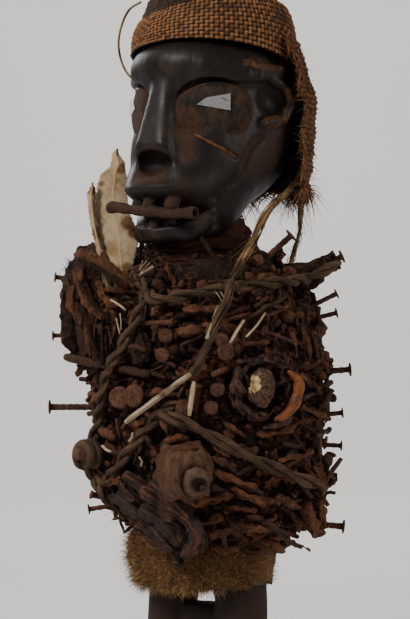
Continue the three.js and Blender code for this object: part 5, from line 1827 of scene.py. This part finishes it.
piece(
    "grass_fray",
    gathered([
        stray_fibres(grass_line[:6], 40, 0.014, 0.0006, 0.1, 0.9),
        stray_fibres(grass_line, 60, 0.016, 0.0005, 0.0, 0.6, 1),
    ]),
    raffia_look, "reed",
)


# Feathers: a broad cream wing feather and a narrow one behind it, thrust into the shoulder
# bundle behind the chin.

feather_look = Look("feather", roughness=0.7)
barbs = feather_look.speckle(1.1, 4, 0.7, at=feather_look.attribute("grain", "Vector"))
feather_stain = feather_look.speckle(48, 4)
quill_share = feather_look.attribute("quill")
stained = feather_look.attribute("stained")
feather_colour = feather_look.mixed(
    feather_look.part(feather_stain + (barbs - 0.5) * 0.5, 0.42, 0.72),
    (0.37, 0.285, 0.18), (0.22, 0.14, 0.065),
)
feather_colour = feather_look.mixed(
    feather_look.part(barbs, 0.5, 0.66) * 0.6, feather_colour, (0.17, 0.105, 0.055)
)
feather_colour = feather_look.mixed(
    feather_look.part(stained + (barbs - 0.5) * 0.6, 0.35, 0.75), feather_colour, (0.14, 0.075, 0.032)
)
feather_look.set(
    base_color=feather_look.mixed(
        feather_look.part(quill_share, 0.4, 0.9), feather_colour, (0.4, 0.28, 0.13)
    )
)
feather_look.bump(barbs, 0.0008, 0.9)


def feather(name, right, left, along, lean, quill_at, stains, node):
    """A feather blade between its right and left edges, given by aside and height."""
    right, left = np.array(right, float), np.array(left, float)
    low, high = right[0, 1], right[-1, 1]
    rows, columns = 90, 25
    points, grain, quill, stained = [], [], [], []
    for layer in (1, -1):
        for z in np.linspace(low, high, rows):
            start = np.interp(z, left[:, 1], left[:, 0])
            end = np.interp(z, right[:, 1], right[:, 0])
            notch = 1.3 * noise.noise(Vector((z * 0.5, 3, 1)))
            for share in np.linspace(0, 1, columns):
                side = abs(share - quill_at) / max(quill_at, 1 - quill_at)
                aside = start + (end - start) * share - notch * (1 - share) ** 4 + notch * share ** 4
                bow = 4.5 * side ** 2 + 0.7 * math.sin(z * 0.7 + side * 7) * side
                middle = math.exp(-((share - quill_at) * (end - start) / 1.1) ** 2)
                forward = along - (z - low) * lean - bow + layer * (0.35 + 0.7 * middle)
                points.append(in_view(aside, forward, z))
                grain.append(((z - side * 16) * 0.9, side * 0.25, share * 2))
                quill.append(middle)
                stained.append(max(
                    math.exp(-((aside - x) ** 2 + (z - y) ** 2) / reach ** 2) for x, y, reach in stains
                ))
    made = (np.array(points), sheet_faces(rows, columns), np.array(grain))
    blade = piece(name, made, feather_look, "feather", node)
    give(blade, "quill", quill)
    give(blade, "stained", stained)


feather(
    "feather_large_blade",
    [(-68, 464), (-63, 477), (-57, 506), (-60, 515), (-65.5, 528), (-67.7, 542), (-67.7, 554),
     (-70.6, 573), (-74.8, 578), (-77, 584.5)],
    [(-78, 464), (-82.5, 480), (-92.4, 500), (-95, 519), (-95, 538), (-93.8, 551), (-90.4, 562),
     (-82.3, 569), (-81.8, 579.5), (-77.1, 584.5)],
    46, 0.52, 0.55, [(-67, 519, 8), (-62, 510, 6), (-90, 553, 3.2), (-73, 566, 6), (-66, 480, 7)],
    "feather_large",
)
feather(
    "feather_small_blade",
    [(-79, 464), (-83, 486), (-87.4, 500), (-91.6, 517), (-94, 534), (-94, 547), (-97, 554)],
    [(-86, 464), (-89, 482), (-93, 497), (-97.4, 514), (-100, 529), (-101.6, 544.5), (-97.1, 554)],
    50, 0.46, 0.5, [(-98, 548, 6), (-92, 510, 7)], "feather_small",
)


# Breast pack: a folded leather ring round a brown lump with a patch of white clay, strips
# folded inside the ring, and a dry orange pod beside it.

leather_look = Look("old_leather", roughness=0.6)
leather_hollow_shade = leather_look.attribute("hollow")
leather_tone = leather_look.attribute("tone")
leather_cloud = leather_look.speckle(50, 5)
leather_crease = leather_look.streaks(330, 5, 0.22, 0.7)
leather_base = leather_look.mixed(
    leather_look.part(leather_tone + (leather_cloud - 0.5) * 0.7, 0.2, 0.8),
    (0.03, 0.02, 0.013), (0.062, 0.025, 0.016),
)
leather_base = leather_look.mixed(
    leather_look.part(leather_crease, 0.42, 0.6), (0.014, 0.007, 0.005), leather_base
)
leather_base = leather_look.mixed(
    leather_look.part(leather_crease + leather_cloud * 0.6, 0.85, 1.05) * 0.7,
    leather_base, (0.14, 0.06, 0.028),
)
# Painted shade: the hollows between the folds are painted near black.
leather_look.set(base_color=leather_look.mixed(
    leather_look.part(leather_hollow_shade, 0.5, 0.9) * 0.85, leather_base, (0.008, 0.004, 0.0035)
))
leather_look.bump(leather_crease + leather_cloud * 0.6, 0.0014, 0.9)

clay_look = Look("stone_and_clay", roughness=0.95)
clay_cloud = clay_look.speckle(130, 5)
clay_grit = clay_look.speckle(420, 4)
clay_pale = clay_look.attribute("pale")
clay_look.set(
    base_color=clay_look.mixed(
        clay_look.part(clay_pale + (clay_cloud - 0.5) * 1.3 + (clay_grit - 0.5) * 0.6, 0.42, 0.62),
        clay_look.mixed(clay_look.part(clay_grit, 0.35, 0.65), (0.03, 0.016, 0.011), (0.11, 0.062, 0.04)),
        clay_look.mixed(clay_look.part(clay_cloud, 0.35, 0.6), (0.2, 0.11, 0.045), (0.5, 0.38, 0.19)),
    )
)
clay_look.bump(clay_cloud + clay_grit * 0.6, 0.0018, 0.9)

pod_look = Look("dry_pod", roughness=0.5)
pod_rib = pod_look.streaks(500, 3, 0.15)
pod_cloud = pod_look.speckle(90, 4)
pod_look.set(base_color=pod_look.patched(
    pod_look.part(pod_cloud, 0.38, 0.62), pod_rib,
    ((0.14, 0.038, 0.011), (0.28, 0.09, 0.023)),
    ((0.03, 0.01, 0.005), (0.12, 0.04, 0.014)),
))
pod_look.bump(pod_rib, 0.0009, 0.8)

pack_ring = lumpy(
    "pack_ring_leather", "pack_ring", 0.0013, [(0.015, 0.0035, 3, True), (0.005, 0.0012, 3, False)],
    leather_look, "old_leather",
)
give(pack_ring, "tone", 1.0)
stone_made = skinned("pack_stone", 0.0011, (0.012, 0.002, 3, True), (0.004, 0.0008, 2, False))
stone = piece("pack_stone_clay", stone_made, clay_look, "pod", "pack_stone")
aside = stone_made[0] @ np.array(to_the_right) / STEP
off_patch = np.hypot((aside - 38) / 6, (stone_made[0][:, 2] / STEP - 386) / 9)
give(stone, "pale", np.exp(-off_patch ** 2))
pack_folds = [
    twisted_roll([seen(*spot, out) for out, *spot in path], width * STEP, 14, 3, 0.05, 0.7)
    for width, path in (
        (8, [(9, 236, 376), (12, 240, 386), (10, 247, 393)]),
        (6, [(10, 245, 374), (12, 248, 382), (10, 252, 391)]),
        (7, [(9, 236, 362), (11, 252, 360), (9, 270, 363)]),
        (9, [(7, 229, 390), (9, 235, 404), (7, 247, 414)]),
        (6, [(10, 283, 352), (12, 287, 360), (10, 282, 368)]),
        (5, [(10, 275, 350), (12, 279, 354), (10, 280, 363)]),
        (10, [(6, 262, 428), (8, 276, 424), (6, 292, 417)]),
        (8, [(7, 290, 380), (9, 298, 392), (7, 299, 404)]),
    )
]
folds_made = roughened(gathered(pack_folds), [(0.008, 0.0014, 3, True)])
give(piece("pack_folded_strips", folds_made, leather_look, "old_leather"), "tone", 1.2)
pod_line = through(
    crust_trail([(76, 396, 9), (80, 388, 12), (80, 376, 12), (76, 362, 11), (70, 356, 8)]), 0.0015
)
pod_steps = np.linspace(-1, 1, len(pod_line))
pod_widths = 0.0095 * np.sqrt(1.02 - pod_steps ** 2) * (1 + 0.08 * np.sin(pod_steps * 11))
piece("pack_pod_shell", tube(pod_line, pod_widths, 16), pod_look, "pod", "pack_pod")


# Leather folds and small bundles: strips of hide folded over one another under the crust,
# their tails hanging to the fur, and little rolled packets along the crust's lower edge.

FOLDED = [
    (15, 3, 0.1, (114, 494), (136, 510), (149, 520), (158, 532), (168, 544)),
    (14, 5, 0.2, (138, 507), (155, 518), (170, 529), (180, 546)),
    (8, 6, 1.1, (134, 523), (148, 535), (162, 546), (175, 551)),
    (11, 7, 0.8, (122, 473), (139, 484), (150, 496), (162, 508), (174, 521)),
    (13, 9, 0.5, (149, 481), (165, 494), (180, 506), (193, 519)),
    (12, 12, 0.9, (138, 490), (157, 500), (174, 509), (189, 521), (197, 533), (192, 546), (183, 560)),
    (6, 10, 0.7, (196, 520), (203, 533), (206, 543), (199, 553)),
    (7, 4, 1.0, (118, 481), (124, 492), (136, 501)),
]


def laid_flat(path, out):
    """Points at places in the picture, at evened-out distances from the camera."""
    eye = np.array(camera.location)
    reach = np.array([seen(*spot, out) for spot in path]) - eye
    far = np.linalg.norm(reach, axis=1)
    even = far.copy()
    for _ in range(3):
        even[1:-1] = (even[:-2] + 2 * even[1:-1] + even[2:]) / 4
    return eye + reach * (even / far)[:, None]


folded = [
    twisted_roll(laid_flat(path, out), width * STEP, 22, 4, 0.3, 0.5, facing=toward_camera)
    for width, out, _, *path in FOLDED
]
folded_made = roughened(
    gathered(folded), [(0.02, 0.001, 2, False), (0.004, 0.0005, 3, True)], keep_grain=True
)
strips = piece("leather_strips", folded_made, leather_look, "old_leather", "leather_folds")
# Its hollows, for the leather's painted shade.
give(strips, "hollow", sunk(folded_made, 4, 0.001))
give(strips, "tone", np.repeat([fold[2] for fold in FOLDED], [len(fold[0]) for fold in folded]))
lumpy("leather_under", "leather_folds", 0.0018, FOLDS, leather_look, "old_leather", swell=-0.006)
for i in range(1, 6):
    give(lumpy(f"bundle_{i}_roll", f"bundle_{i}", 0.0013, FOLDS, earth_look, "cloth"), "tone", 0.7)


# Fur skirt: a strip of hide with its long hair on, wound round the hips with the hair hanging
# and tied under the crust.

fur_look = Look("fur", roughness=0.75)
fur_tone = fur_look.attribute("tone")
fur_cloud = fur_look.speckle(38, 4)
fur_root = fur_look.speckle(420, 3)
fur_colour = fur_look.mixed(
    fur_look.part(fur_tone + (fur_cloud - 0.5) * 1.6, 0.1, 0.9),
    (0.075, 0.037, 0.013), (0.38, 0.22, 0.09),
)
fur_look.set(base_color=fur_look.mixed(
    fur_look.part(fur_root, 0.5, 0.75) * 0.6, fur_colour, (0.02, 0.01, 0.004)
))
fur_look.bump(fur_root, 0.001, 0.6)

hide_made = skinned("fur_skirt", 0.003, (0.02, 0.003, 3, False), swell=-0.003)
hide = piece("fur_skirt_hide", hide_made, fur_look, "fur", "fur_skirt")
hide_points, hide_faces, _ = hide_made
hide_facing = (outwards(hide_points, hide_faces)[:, :2] * hide_points[:, :2]).sum(1)
give(hide, "room", np.where(hide_facing > -0.01, 0.05, 0))


def hair(length, width):
    """A single hair that bends down from its root."""
    steps = np.linspace(0, 1, 3)
    curl = shape_dice.normal(0, 0.25, 2)
    line = np.stack([
        curl[0] * length * steps ** 2, -0.5 * length * steps ** 1.5,
        length * (0.75 * steps + 0.1 * steps ** 2),
    ], 1)
    return tube(line, width * (1.08 - steps), 3)


set_over(
    "fur_skirt_hair", hide, [hair(*size) for size in (
        (0.009, 0.0005), (0.011, 0.0005), (0.008, 0.0005), (0.012, 0.0006), (0.01, 0.0004),
    )], fur_look, "fur",
    Density=270000.0, Seed=33, Smallest=0.7, Largest=1.2, Lean=0.55, Sink=0.0005, Room=0.001,
)
